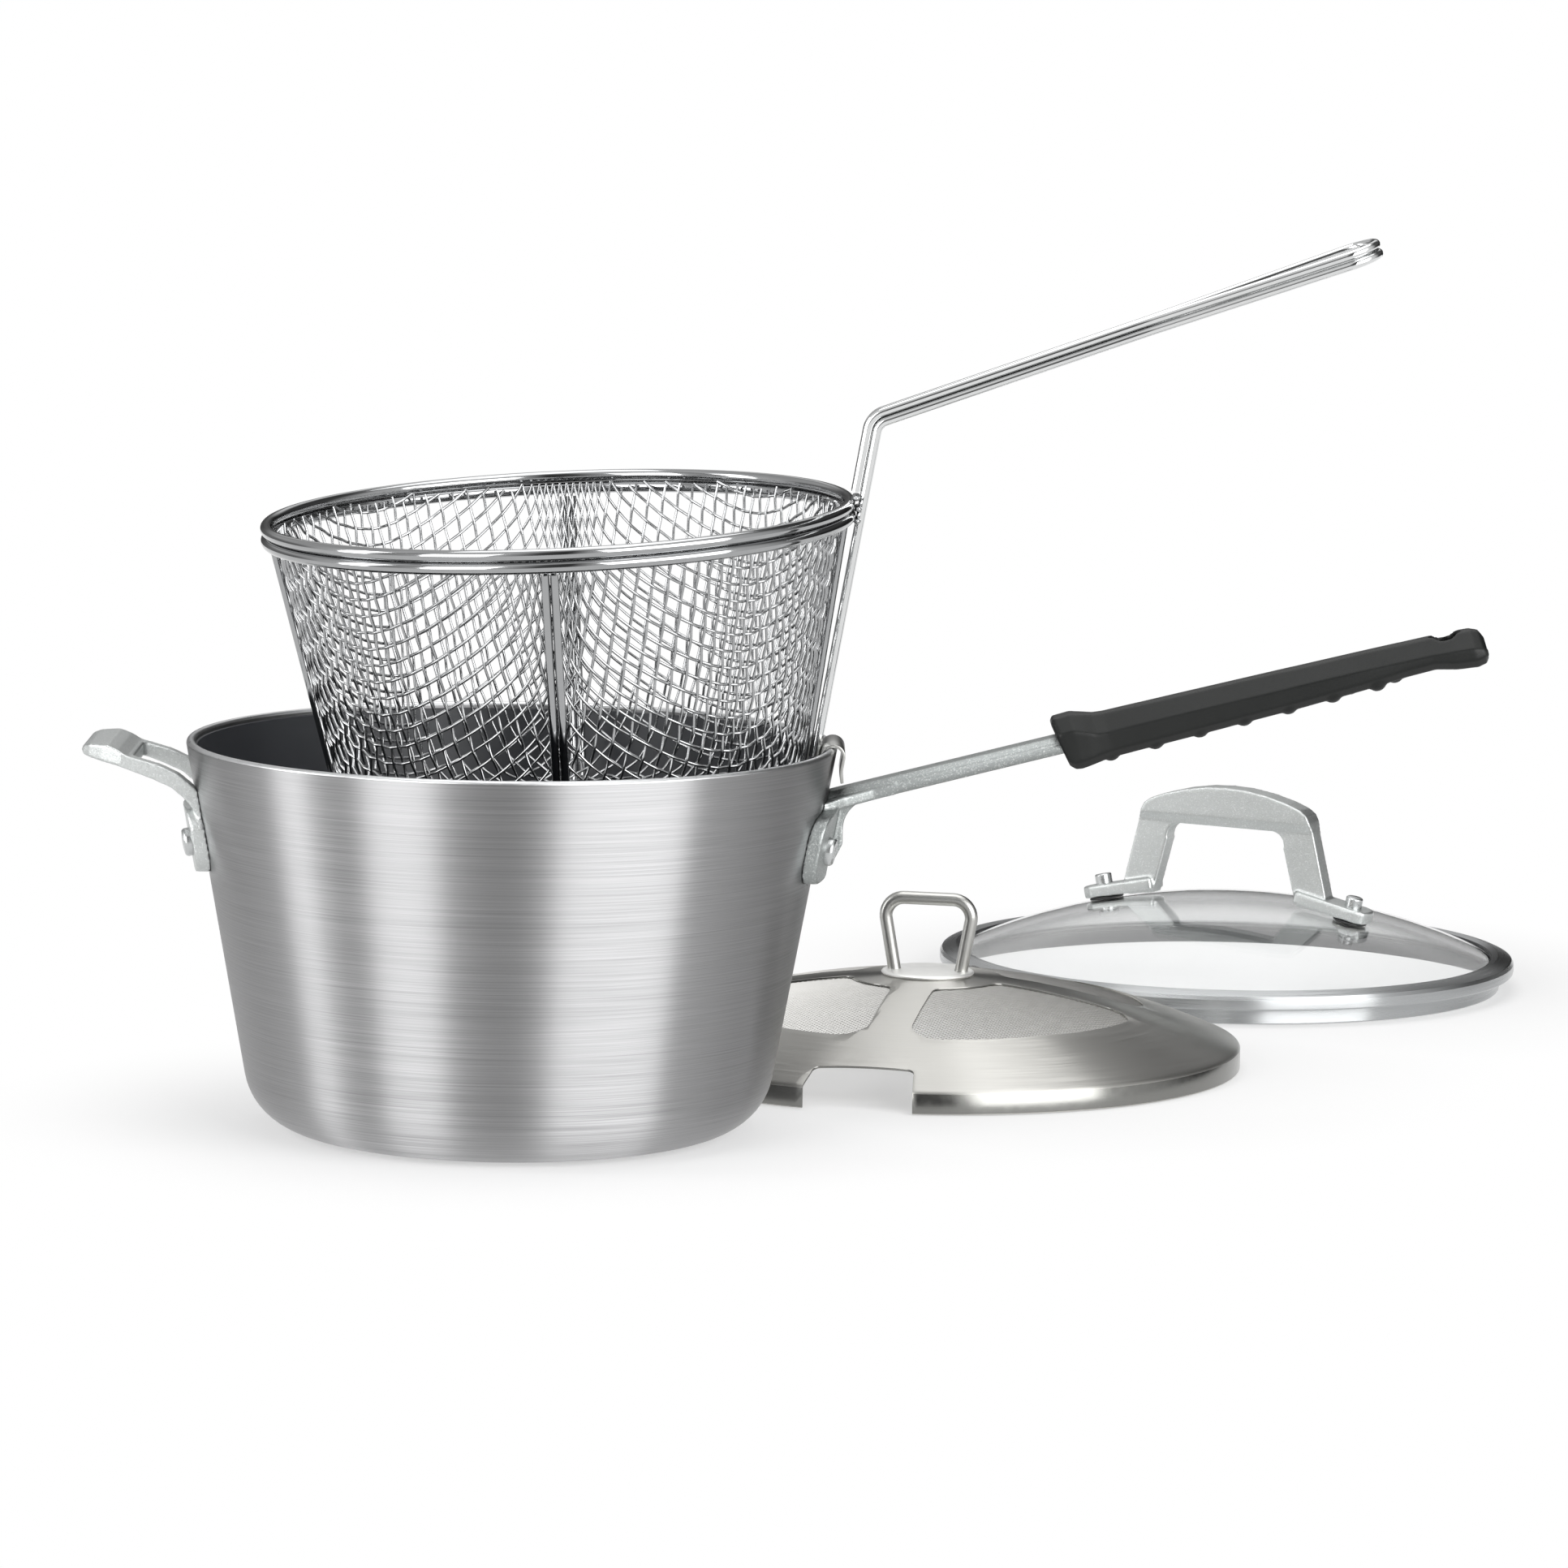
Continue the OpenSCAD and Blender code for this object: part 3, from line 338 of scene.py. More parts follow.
def brushed_metal(name, colour, centre, roughness, run, tone):
    """Brushed sheet: hair-fine lines run round the piece, so light spreads across them."""
    material, tree, shader = new_material(name, colour, 1.0, roughness,
                                          Anisotropic=1.0, Anisotropic_Rotation=0.25)
    position = add_node(tree, "TexCoord").outputs["Object"]
    moved = add_node(tree, "VectorMath", SUBTRACT, in0=position, in1=centre * MM).outputs[0]
    flat = add_node(tree, "VectorMath", MULTIPLY, in0=moved, in1=(1, 1, 0)).outputs[0]
    radius = add_node(tree, "VectorMath", {"operation": "LENGTH"}, in0=flat).outputs["Value"]
    around = add_node(tree, "VectorMath", {"operation": "NORMALIZE"}, in0=flat).outputs[0]
    around = add_node(tree, "VectorMath", {"operation": "SCALE"}, in0=around, Scale=run).outputs[0]
    height = add_node(tree, "SeparateXYZ", (), in0=moved).outputs[2]
    across = add_node(tree, "Math", ADD, in0=height, in1=radius).outputs[0]

    def lines(per_metre, detail):
        """Noise that is drawn out round the piece."""
        step = add_node(tree, "Math", MULTIPLY, in0=across, in1=per_metre).outputs[0]
        lift = add_node(tree, "CombineXYZ", (), Z=step).outputs[0]
        where = add_node(tree, "VectorMath", ADD, in0=around, in1=lift).outputs[0]
        noise = add_node(tree, "TexNoise", (), Vector=where, Scale=1.0, Detail=detail, Roughness=0.6)
        return noise.outputs["Fac"]

    # Lines about 0.4, 0.7 and 5 mm apart, each several centimetres long
    hair, line, sweep = lines(2500.0, 2.0), lines(1400.0, 3.0), lines(190.0, 2.0)
    most = add_node(tree, "Mix", {}, in0=0.5, in2=hair, in3=line).outputs[0]
    grain = add_node(tree, "Mix", {}, in0=0.12, in2=most, in3=sweep).outputs[0]
    rough = add_node(tree, "MapRange", (), Value=grain, in1=0.35, in2=0.65, in3=roughness - 0.06,
                     in4=roughness + 0.06)
    tree.links.new(rough.outputs[0], shader.inputs["Roughness"])
    dark, light = shades(colour, 1 - tone, 1 + tone)
    share = add_node(tree, "MapRange", (), Value=grain, in1=0.36, in2=0.64, in3=0.0, in4=1.0).outputs[0]
    blend = add_node(tree, "Mix", COLOUR, in0=share, in6=dark, in7=light)
    tree.links.new(blend.outputs[2], shader.inputs["Base Color"])
    bump = add_node(tree, "Bump", (), Strength=0.12, Distance=0.00004, Height=line)
    tree.links.new(bump.outputs[0], shader.inputs["Normal"])
    tangent = add_node(tree, "Tangent", {"direction_type": "RADIAL", "axis": "Z"})
    tree.links.new(tangent.outputs[0], shader.inputs["Tangent"])
    return material


def sand_cast(name, colour, roughness=0.4):
    """Cast aluminium, blasted and left matt: a fine orange-peel grain that glints."""
    material, tree, shader = new_material(name, colour, 1.0, roughness)
    position = add_node(tree, "TexCoord").outputs["Object"]
    # Grains about 0.4 mm across, a few of them bright
    grain = add_node(tree, "TexNoise", (), Vector=position, Scale=1700.0, Detail=3.0,
                     Roughness=0.7).outputs["Fac"]
    patch = add_node(tree, "TexNoise", (), Vector=position, Scale=120.0, Detail=2.0).outputs["Fac"]
    glint = add_node(tree, "TexVoronoi", {"feature": "F1"}, Vector=position, Scale=2400.0).outputs["Color"]
    glint = add_node(tree, "SeparateColor", (), in0=glint).outputs[0]
    bright = add_node(tree, "MapRange", (), Value=glint, in1=0.8, in2=1.0, in3=0.0, in4=0.34).outputs[0]
    blend = patterned(tree, shader, colour, (0.8, 1.15), grain, roughness - 0.12, roughness + 0.12)
    sparkle = add_node(tree, "Mix", COLOUR, in0=bright, in6=blend, in7=GLINT).outputs[2]
    tree.links.new(sparkle, shader.inputs["Base Color"])
    height = add_node(tree, "Math", ADD, in0=grain, in1=patch).outputs[0]
    bump = add_node(tree, "Bump", (), Strength=0.5, Distance=0.0002, Height=height)
    tree.links.new(bump.outputs[0], shader.inputs["Normal"])
    return material


def drawn_metal(name, colour, roughness, spread=0.03):
    """Drawn or pressed metal: smooth, with faint draw marks in its polish."""
    material, tree, shader = new_material(name, colour, 1.0, roughness)
    position = add_node(tree, "TexCoord").outputs["Object"]
    # Marks about 4 mm long
    marks = add_node(tree, "TexNoise", (), Vector=position, Scale=260.0, Detail=3.0).outputs["Fac"]
    patterned(tree, shader, colour, (0.95, 1.04), marks, roughness - spread, roughness + spread)
    return material


def moulded(name, colour, roughness, grain_mm, depth_mm, **extra):
    """A moulded or sprayed skin with a fine even grain and faint clouds 40 mm across."""
    material, tree, shader = new_material(name, colour, 0.0, roughness, **extra)
    position = add_node(tree, "TexCoord").outputs["Object"]
    grain = add_node(tree, "TexNoise", (), Vector=position, Scale=1 / (grain_mm * MM),
                     Detail=2.0).outputs["Fac"]
    cloud = add_node(tree, "TexNoise", (), Vector=position, Scale=25.0, Detail=3.0).outputs["Fac"]
    patterned(tree, shader, colour, (0.85, 1.15), cloud, roughness - 0.05, roughness + 0.06)
    bump = add_node(tree, "Bump", (), Strength=0.3, Distance=depth_mm * MM, Height=grain)
    tree.links.new(bump.outputs[0], shader.inputs["Normal"])
    return material


# Spun aluminium, brushed on the lathe: hair lines that draw each light out into an upright band
BRUSHED_ALUMINIUM = brushed_metal("brushed aluminium", "#adadae", Vector(), 0.46, 1.4, 0.25)
# The same aluminium where a tool turned the lip smooth, its colour painted lighter as a highlight on the
# lip's top: a bright even edge
LIP_PAINTED_HIGHLIGHT = drawn_metal("turned aluminium lip, painted highlight", "#d6d7d8", 0.3)
# Pressed stainless steel, brushed round: soft fans of light over the dome, slightly warm
SPLATTER_STEEL = brushed_metal("brushed lid steel", "#b9b8b4", SPLATTER_AT, 0.36, 3.0, 0.05)
# Rolled stainless steel, satin brushed: two soft grey steps
BAND_STEEL = brushed_metal("satin band steel", "#b4b6b7", GLASS_AT, 0.3, 3.0, 0.04)
# The band's inner faces, rolled and left dull, their colour painted dark as shade where little light comes: a
# dark line under the glass
BAND_PAINTED_SHADE = drawn_metal("inner steel, painted shade", "#303234", 0.4)
# The splatter lid's skirt and cut edges, rolled and polished: they mirror floor and room as light and dark,
# and their colour is painted darker than the dome's steel as shade
SKIRT_STEEL_PAINTED_SHADE = drawn_metal("polished skirt steel", "#858582", 0.2)
# Spun steel, finely matt, its colour painted nearly white as light falling from above
DISC_STEEL_PAINTED_LIGHT = drawn_metal("spun disc steel", "#f0f0ee", 0.5)
# Bent stainless wire and strip, satin finished: soft long highlights
SATIN_STEEL = drawn_metal("satin steel wire", "#aeaeab", 0.32)
# Die-cast aluminium, blasted: pale and matt with a fine grain
CAST_ALUMINIUM = sand_cast("blasted cast aluminium", "#c3c6c5")
# The long handle's casting, blasted and not polished, its colour painted greyer as shade: a greyer matt
HANDLE_CASTING_PAINTED_SHADE = sand_cast("cast aluminium, painted shade", "#979b9a")
# Aluminium rivets and studs, pressed: smooth, each with a small round highlight
RIVET_ALUMINIUM = drawn_metal("pressed rivet aluminium", "#c0c2c2", 0.28)
# Drawn steel wire, chrome plated, its colour painted darker as shade: sharp dark and light lines along rings
# and ribs
CHROME_WIRE_PAINTED_SHADE = drawn_metal("polished chrome wire", "#a6a7a8", 0.08, 0.02)
# The handle's wires, the same chrome plate with its colour painted brighter as light: the same lines,
# brighter
HANDLE_CHROME_PAINTED_LIGHT = drawn_metal("bright chrome wire", "#dadbdb", 0.07, 0.02)
# Woven stainless wire, polished after weaving: each crossing glints by itself
CLOTH_WIRE = drawn_metal("polished woven wire", "#abacad", 0.17)
# Fine stainless screen, woven and left dull: an even pale grey
SCREEN_WIRE = drawn_metal("fine screen wire", "#cccbc8", 0.35)
# Fluoropolymer coating, sprayed and baked: dark grey with a soft sheen
NONSTICK = moulded("non-stick coating", "#303236", 0.36, 0.4, 0.05)
# Silicone rubber, moulded: charcoal black and matt, with a dull sheen along its bevels
SILICONE = moulded("moulded silicone", "#0d0f0e", 0.4, 1 / 3, 0.06, Specular_IOR_Level=0.28)
# Silicone pads, moulded: plain matt black
GASKET = moulded("black silicone gasket", "#1d1e1e", 0.5, 0.4, 0.05)


def clear_glass():
    """Soda-lime glass, pressed and tempered: clear, with faint smears that soften what it mirrors."""
    material, tree, shader = new_material("tempered glass", "#fbfcfc", 0.0, 0.0,
                                          Transmission_Weight=1.0, IOR=1.5)
    position = add_node(tree, "TexCoord").outputs["Object"]
    smear = add_node(tree, "TexNoise", (), Vector=position, Scale=18.0, Detail=2.0).outputs["Fac"]
    rough = add_node(tree, "MapRange", (), Value=smear, in1=0.35, in2=0.75, in3=0.0, in4=0.03)
    tree.links.new(rough.outputs[0], shader.inputs["Roughness"])
    return material


GLASS = clear_glass()


# ---------------------------------------------------------------- pot
def cup_profile(inset, z0, top, corner, steps=10):
    """Half section of the pot's wall, moved in by an inset, from the centre of its floor up."""
    wall_r = pot_r(z0) - inset
    centre = wall_r - corner * (1 - sin(POT_TAPER)) / cos(POT_TAPER)
    bend = arc(centre, z0 + corner, corner, -90, -math.degrees(POT_TAPER), steps)
    return [(0, z0), (centre * 0.5, z0)] + bend + [(wall_r + (top - z0) * tan(POT_TAPER), top)]


def make_pot():
    """The pot's wall, floor and rolled lip in one turned shell, and the coat inside it."""
    lip_z = POT_H - LIP_R
    outside = cup_profile(0, 0, lip_z, POT_CORNER, 14)
    inside = cup_profile(POT_WALL, POT_FLOOR, lip_z, POT_CORNER - POT_WALL)
    lip = arc(pot_r(lip_z) - POT_WALL / 2, lip_z, LIP_R, 0, 180, 10)
    shell = turned("pot_wall", outside[:-1] + lip + inside[::-1][1:], 180, closed=False)
    finished(shell, "pot", "pot_aluminium", BRUSHED_ALUMINIUM, "pot_shell")
    # The lip's upward faces take the turned aluminium, painted lighter as a highlight
    other_material(shell, LIP_PAINTED_HIGHLIGHT, lambda at, normal: normal.z > 0.3 and at.z > (POT_H - 3) * MM)

    skin = cup_profile(POT_WALL, POT_FLOOR, lip_z - 0.6, POT_CORNER - POT_WALL)
    inner = cup_profile(POT_WALL + LINING, POT_FLOOR + LINING, lip_z - 0.9, POT_CORNER - POT_WALL - LINING)
    lining = turned("nonstick_coat", skin + inner[::-1], 180, closed=False)
    finished(lining, "pot", "lining", NONSTICK, "nonstick_lining")


def rivet_matrix(side, azimuth):
    """From a frame whose +Z leaves the wall to a rivet of the handle at an azimuth."""
    spread = math.asin(RIVET_PITCH / 2 / pot_r(RIVET_Z))
    return (turn(azimuth + side * spread, "Z") @ shift(pot_r(RIVET_Z), 0, RIVET_Z)
            @ turn(rad(90) + POT_TAPER, "Y"))


def make_rivets(name, azimuth, node):
    """Rivet heads: a flat crown with a rounded shoulder outside, a low one inside."""
    crown = arc(RIVET_HEAD_R - 1.6, 1.5, 1.6, 0, 62, 5)
    head = [(RIVET_HEAD_R - 0.5, -0.3), (RIVET_HEAD_R, 0)] + crown + [(RIVET_HEAD_R - 2.6, 3.15), (0, 3.35)]
    heads = []
    for side in (-1, 1):
        out = turned(name, [(0, -0.3)] + head, 40, closed=False)
        place(out, rivet_matrix(side, azimuth) @ shift(0, 0, PLATE_T))
        low = turned(name, [(0, -0.3)] + [(r, z * 0.6) for r, z in head], 40, closed=False)
        place(low, rivet_matrix(side, azimuth) @ shift(0, 0, -POT_WALL - LINING - 0.1) @ turn(rad(180), "X"))
        heads += [out, low]
    finished(joined(name, heads), "pot", "cast_metal", RIVET_ALUMINIUM, node)


# Cutters for the plates start inside the pot and reach past its wall
CUT_FROM, CUT_LENGTH = 60, 100


def wall_shell(thickness):
    """A shell that hugs the pot's wall where the handle plates sit."""
    low_r, high_r = pot_r(PLATE_LOW), pot_r(PLATE_HIGH)
    section = [(low_r, PLATE_LOW), (low_r + thickness, PLATE_LOW)]
    section += [(high_r + thickness, PLATE_HIGH), (high_r, PLATE_HIGH)]
    return turned("shell", section, 160)


def pot_space():
    """What the pot's wall and its inside take up, behind the handle plates."""
    low, high = 60, 160
    half_section = [(0, low), (pot_r(low), low), (pot_r(high), high), (0, high)]
    return turned("pot_space", half_section, 180, closed=False)


def helper_plate():
    """The helper handle's plate, round-cornered and bent to the pot's wall."""
    width, height, corner = 58, 25, 8
    outline = []
    for quarter, (sy, sz) in enumerate(((1, 1), (-1, 1), (-1, -1), (1, -1))):
        cy, cz = sy * (width / 2 - corner), sz * (height / 2 - corner)
        rounded = arc(cy, cz, corner, quarter * 90, quarter * 90 + 90, 6)
        outline += [(CUT_FROM, y, z + RIVET_Z) for y, z in rounded]
    return cut(wall_shell(PLATE_T + 0.3), pressed("outline", outline, (CUT_LENGTH, 0, 0)), "INTERSECT")


def along_handle():
    """From a frame whose X runs along the long handle, from the pot's axis."""
    return shift(0, 0, BAR_Z) @ turn(-HANDLE_RISE, "Y")


BAR_START = pot_r(RIVET_Z) / cos(HANDLE_RISE)
GRIP_START = BAR_START + BAR_REACH


def gable_outline():
    """The long handle's plate: a round-cornered rectangle that rises to the bar's foot, facing +X."""
    peak = BAR_Z + pot_r(RIVET_Z) * tan(HANDLE_RISE) - RIVET_Z
    half = [(BAR_W / 2 + 1, peak)] + arc(26, 4, 9, 81, 0, 7) + arc(26, -4, 9, 0, -90, 7)
    half = [(y, z + RIVET_Z) for y, z in half]
    return [(CUT_FROM, y, z) for y, z in half] + [(CUT_FROM, -y, z) for y, z in half[::-1]]


def make_long_handle():
    """One casting: a plate on the wall, a web between the rivets and a roofed bar."""
    outline = pressed("outline", gable_outline(), (CUT_LENGTH, 0, 0))
    plate = cut(wall_shell(PLATE_T + 0.2), outline, "INTERSECT")
    half, roof = BAR_W / 2, BAR_T / 2
    section = [(-half * 0.48, roof), (-half * 0.8, roof * 0.45), (-half * 0.84, roof * 0.1),
               (-half, roof * 0.1), (-half, -roof * 0.55), (-half * 0.84, -roof)]
    section += [(-y, z) for y, z in section[::-1]]
    bar = pressed("bar", [(BAR_START - 8, y, z) for y, z in section], (BAR_REACH + 12, 0, 0))
    place(bar, along_handle())

    def bar_top(x):
        """Height of the bar's top face."""
        return BAR_Z + x * tan(HANDLE_RISE) + roof

    # The web: level at the rivets, then up round a sweep into the bar's underside
    x0, sweep = pot_r(RIVET_Z) - 2, 12.0
    bend_x = x0 + sweep + 11
    side = [(x0 - 3, RIVET_Z - 8), (x0 + 7, RIVET_Z - 8), (x0 + 11, RIVET_Z)]
    side += arc(bend_x, bar_top(bend_x) - BAR_T - sweep, sweep, 180, 96, 10)
    side += [(bend_x + 2, bar_top(bend_x) - 2), (x0 - 3, bar_top(x0 - 3) - 1)]
    web = pressed("web", [(x, -7.6, z) for x, z in side], (0, 15.2, 0))

    # The shoulder: the bar's root widens to the plate, seen from above
    x0 = pot_r(RIVET_Z) - 4
    plan = [(x0, -20.5), (x0 + 7, -17.6), (x0 + 14, -12.4), (x0 + 26, -9.7), (x0 + 33, -9.6)]
    plan += [(x, -y) for x, y in plan[::-1]]
    shoulder = pressed("shoulder", [(x, y, 60) for x, y in plan], (0, 0, 100))
    slab = pressed("slab", [(BAR_START - 12, -40, z) for z in (-roof, 0.9)]
                   + [(BAR_START + 30, -40, z) for z in (0.9, -roof)], (0, 80, 0))
    cut(shoulder, place(slab, along_handle()), "INTERSECT")

    body = casting("handle_casting", [plate, bar, web, shoulder], pot_space(), 0.46)
    # The long handle takes the cast aluminium painted greyer as shade
    finished(body, "pot", "cast_metal", HANDLE_CASTING_PAINTED_SHADE, "long_handle", angle=60)


def make_grip():
    """Silicone sleeve: raised collar, roofed top, two rows of nubs below, a hang hole through its tail."""
    # Place along the sleeve, top, bottom, half width, half width of the flat on top
    stations = [(0, 8.6, -8.4, 11.6, 6.2), (1.6, 10.3, -10.2, 12.5, 6.6), (8, 10.6, -10.6, 12.5, 6.4),
                (12.5, 9.4, -10.1, 12.2, 5.6), (16.5, 8.3, -9.5, 11.8, 4.6), (20.5, 7.9, -9.1, 11.5, 4.3),
                (50, 7.7, -8.7, 11.1, 4.2), (95, 7.2, -7.9, 10.8, 4.2), (120, 6.9, -7.0, 10.7, 4.2),
                (137, 6.6, -5.9, 10.7, 4.2), (148, 6.4, -5.7, 10.8, 4.3), (156, 6.2, -7.6, 11.1, 4.4),
                (164, 5.7, -8.5, 11.3, 4.4), (167.4, 4.4, -7.9, 10.6, 4.0), (168.8, 1.5, -6.2, 9.2, 3.0)]

    def ring_of(top, bottom, half, flat):
        """Outline of the sleeve at one station: a flat top, two bevels, sides and a round-edged base."""
        shoulder = top - (half - flat) * 0.98
        right = [(0, top), (flat, top), (half, shoulder), (half, bottom + 3.2), (half - 3.2, bottom),
                 (0, bottom)]
        return right + [(-y, z) for y, z in right[-2:0:-1]]

    first = ring_of(*stations[0][1:])
    grip = draw_chain("grip_skin", [(stations[0][0], y, z) for y, z in first], closed=True)
    bpy.ops.mesh.edge_face_add()
    for index, station in enumerate(stations[1:], 1):
        step = (station[0] - stations[index - 1][0]) * MM
        bpy.ops.mesh.extrude_region_move(TRANSFORM_OT_translate={"value": (step, 0, 0)})
        mesh = bmesh.from_edit_mesh(grip.data)
        before, after = ring_of(*stations[index - 1][1:]), ring_of(*station[1:])
        for vert in [v for v in mesh.verts if v.select]:
            near = min(range(len(before)), key=lambda k: (vert.co.y / MM - before[k][0]) ** 2
                       + (vert.co.z / MM - before[k][1]) ** 2)
            vert.co.y, vert.co.z = after[near][0] * MM, after[near][1] * MM
        bmesh.update_edit_mesh(grip.data)
    mesh = bmesh.from_edit_mesh(grip.data)
    slant, front_top = 3.7 / 18, stations[0][1] * MM
    for vert in mesh.verts:  # the front face slants back towards its lower edge
        if vert.co.x < 2 * MM:
            vert.co.x += slant * (front_top - vert.co.z)
    bmesh.update_edit_mesh(grip.data)
    tidy_faces()
    object_mode()
    add_modifier(grip, "BEVEL", width=1.7 * MM, segments=3, angle_limit=rad(24))

    first_nub, nub_pitch, nub_r, stagger = 20, 17.5, 4.0, 0.45
    nubs = []
    for row in range(7):
        for side in (-1, 1):
            pick()
            bpy.ops.mesh.primitive_uv_sphere_add(segments=20, ring_count=12, radius=nub_r * MM)
            x = first_nub + (row + (stagger if side > 0 else 0)) * nub_pitch
            nubs.append(place(bpy.context.object, shift(x, side * 5.6, -6.7 + row * 0.33)))
    cut(grip, joined("nubs", nubs), "UNION")
    hole = [(x, y, -20) for x, y in arc(GRIP_LEN - 14, 0, 6, 0, 345, 23)]
    cut(grip, pressed("hang_hole", hole, (0, 0, 40)))
    tang_space = [(-3, y, z) for y, z in ((-7.1, -2.6), (7.1, -2.6), (7.1, 2.6), (-7.1, 2.6))]
    cut(grip, pressed("tang_space", tang_space, (GRIP_LEN - 30, 0, 0)))
    add_modifier(grip, "REMESH", mode="VOXEL", voxel_size=0.6 * MM)
    add_modifier(grip, "SMOOTH", factor=0.5, iterations=3)
    place(grip, along_handle() @ shift(GRIP_START, 0, 0))
    finished(grip, "pot", "grip", SILICONE, "grip_sleeve", angle=60)


def make_helper_handle():
    """Short cast loop: two arms sweep up from a plate to a raised end."""
    reach, half, arm = pot_r(RIVET_Z) + 45.5, 28.0, 7.0
    side = [(0, 33), (-1.2, 35.4), (-4, 36.2), (-11, 36.2), (-15, 34.6), (-19, 32.2), (-24, 30.8),
            (-31, 28.8), (-38, 25.6), (-44.5, 20.3), (-49, 14), (-52, 8), (-52, 0), (-48.5, 6.5),
            (-43.2, 12.9), (-40.2, 16.4), (-35.2, 20.5), (-27.6, 23.8), (-15, 28.4), (-1.6, 31.6)]
    body = pressed("helper", [(reach + x, -half, RIVET_Z + z) for x, z in side], (0, 2 * half, 0))
    plan = [(100, -half), (reach - 16, -half), (reach - 9, -half + 1.6), (reach - 4, -half + 4.5),
            (reach - 1.2, -half + 8), (reach, -half + 12)]
    plan += [(x, -y) for x, y in plan[::-1]]
    cut(body, pressed("plan", [(x, y, 90) for x, y in plan], (0, 0, 80)), "INTERSECT")
    gap = [(100, -half + arm), (reach - 22, -half + arm), (reach - 20.5, -half + arm + 1.5)]
    gap += [(x, -y) for x, y in gap[::-1]]
    cut(body, pressed("gap", [(x, y, 90) for x, y in gap], (0, 0, 80)))
    body = casting("helper_casting", [body, helper_plate()], pot_space(), 0.5)
    place(body, turn(rad(180), "Z"))
    finished(body, "pot", "cast_metal", CAST_ALUMINIUM, "helper_handle", angle=60)


# ---------------------------------------------------------------- basket
CLOTH_TOP = -RING_D / 2
CLOTH_TOP_R = BASKET_R - RING_D - CLOTH_D / 2 - WIRE_GAP
CORNER_Z = -BASKET_DEPTH + BASKET_CORNER
CORNER_C = CLOTH_TOP_R - (BASKET_CORNER + (CLOTH_TOP - CORNER_Z) * sin(BASKET_TAPER)) / cos(BASKET_TAPER)
RIB_OUT = (CLOTH_D + RIB_D) / 2 + WIRE_GAP
WIRE_STEP = HANDLE_D + WIRE_GAP


def side_r(z, out=0.0):
    """Radius of the basket's cloth at a height below its rim, or of what lies further out."""
    return CLOTH_TOP_R + (z - CLOTH_TOP) * tan(BASKET_TAPER) + out / cos(BASKET_TAPER)


RING_MID = BASKET_R - RING_D / 2
LOW_RING_Z = -1.5 * RING_D - 0.05
LEG_LOW_Z = CORNER_Z + 2
LEG_LOW_X = side_r(LEG_LOW_Z, RIB_OUT + (RIB_D + HANDLE_D) / 2 + WIRE_GAP / 2)
LEG_LEAN = math.atan((RING_MID + ((RING_D + HANDLE_D) / 2 + WIRE_GAP) / cos(BASKET_TAPER) - LEG_LOW_X)
                     / (LOW_RING_Z - LEG_LOW_Z))
LEG_X = LEG_LOW_X + (-RING_D - LEG_LOW_Z) * tan(LEG_LEAN)
LEG_OUT = Vector((cos(LEG_LEAN), 0, -sin(LEG_LEAN)))
BAR_ALONG = Vector((cos(BASKET_RISE), 0, sin(BASKET_RISE)))
BAR_UP = Vector((-sin(BASKET_RISE), 0, cos(BASKET_RISE)))


def on_leg(z):
    """The point at a height on the line that the handle's legs follow."""
    return Vector((LEG_X + (z + RING_D) * tan(LEG_LEAN), 0, z))


HOOK_CENTRE = on_leg(HOOK_HEIGHT - BASKET_DEPTH) + (HANDLE_D / 2 + 0.05 + HOOK_T + HOOK_R) * LEG_OUT
HOOK_LIFT = HOOK_W / 2 * sin(BASKET_LEAN) + 0.15
RIM_MID = pot_r(POT_H - LIP_R) - POT_WALL / 2
BASKET_PLACE = (shift(RIM_MID + 0.1, 0, POT_H + 0.05 - HOOK_R + HOOK_LIFT) @ turn(-BASKET_TILT, "Y")
                @ turn(BASKET_LEAN, "X") @ Matrix.Translation(-HOOK_CENTRE))


def basket_piece(obj, material, *nodes, angle=40):
    """Hangs a piece with the basket on the pot's rim, and finishes it."""
    place(obj, BASKET_PLACE)
    return finished(obj, "basket", "basket_wire", material, *nodes, angle=angle)


def make_basket_rings():
    """Two rim rings, one on the other."""
    for name, node, z in (("rim_wire_top", "basket_top_ring", -RING_D / 2),
                          ("rim_wire_low", "basket_lower_ring", LOW_RING_Z)):
        circle = arc(RING_MID, z, RING_D / 2, 0, 345, 23)
        basket_piece(turned(name, circle, 160), CHROME_WIRE_PAINTED_SHADE, node)


def rib_points(drop):
    """Down one side, round the corner, across under the floor and up the other side."""
    slide = Vector((-sin(BASKET_TAPER), 0, -cos(BASKET_TAPER))) * drop / cos(BASKET_TAPER)
    top = -2 * RING_D - 0.8
    half = [Vector((side_r(top, RIB_OUT), 0, top))]
    bend = arc(CORNER_C, CORNER_Z, BASKET_CORNER + RIB_OUT, -math.degrees(BASKET_TAPER), -90, 14)
    half += [Vector((x, 0, z)) + slide for x, z in bend]
    return half + [Vector((-p.x, 0, p.z)) for p in half[::-1]]


def make_basket_ribs():
    """Two pairs of ribs that cross under the floor."""
    ribs = []
    for quarter, drop in ((0, 0.0), (1, RIB_D + WIRE_GAP)):
        for side in (-1, 1):
            rib = wire("rib", rib_points(drop), RIB_D, 3)
            ribs.append(place(rib, turn(quarter * rad(90), "Z") @ shift(0, side * (RIB_D + WIRE_GAP) / 2, 0)))
    basket_piece(joined("rib_wires", ribs), CHROME_WIRE_PAINTED_SHADE, "basket_ribs")


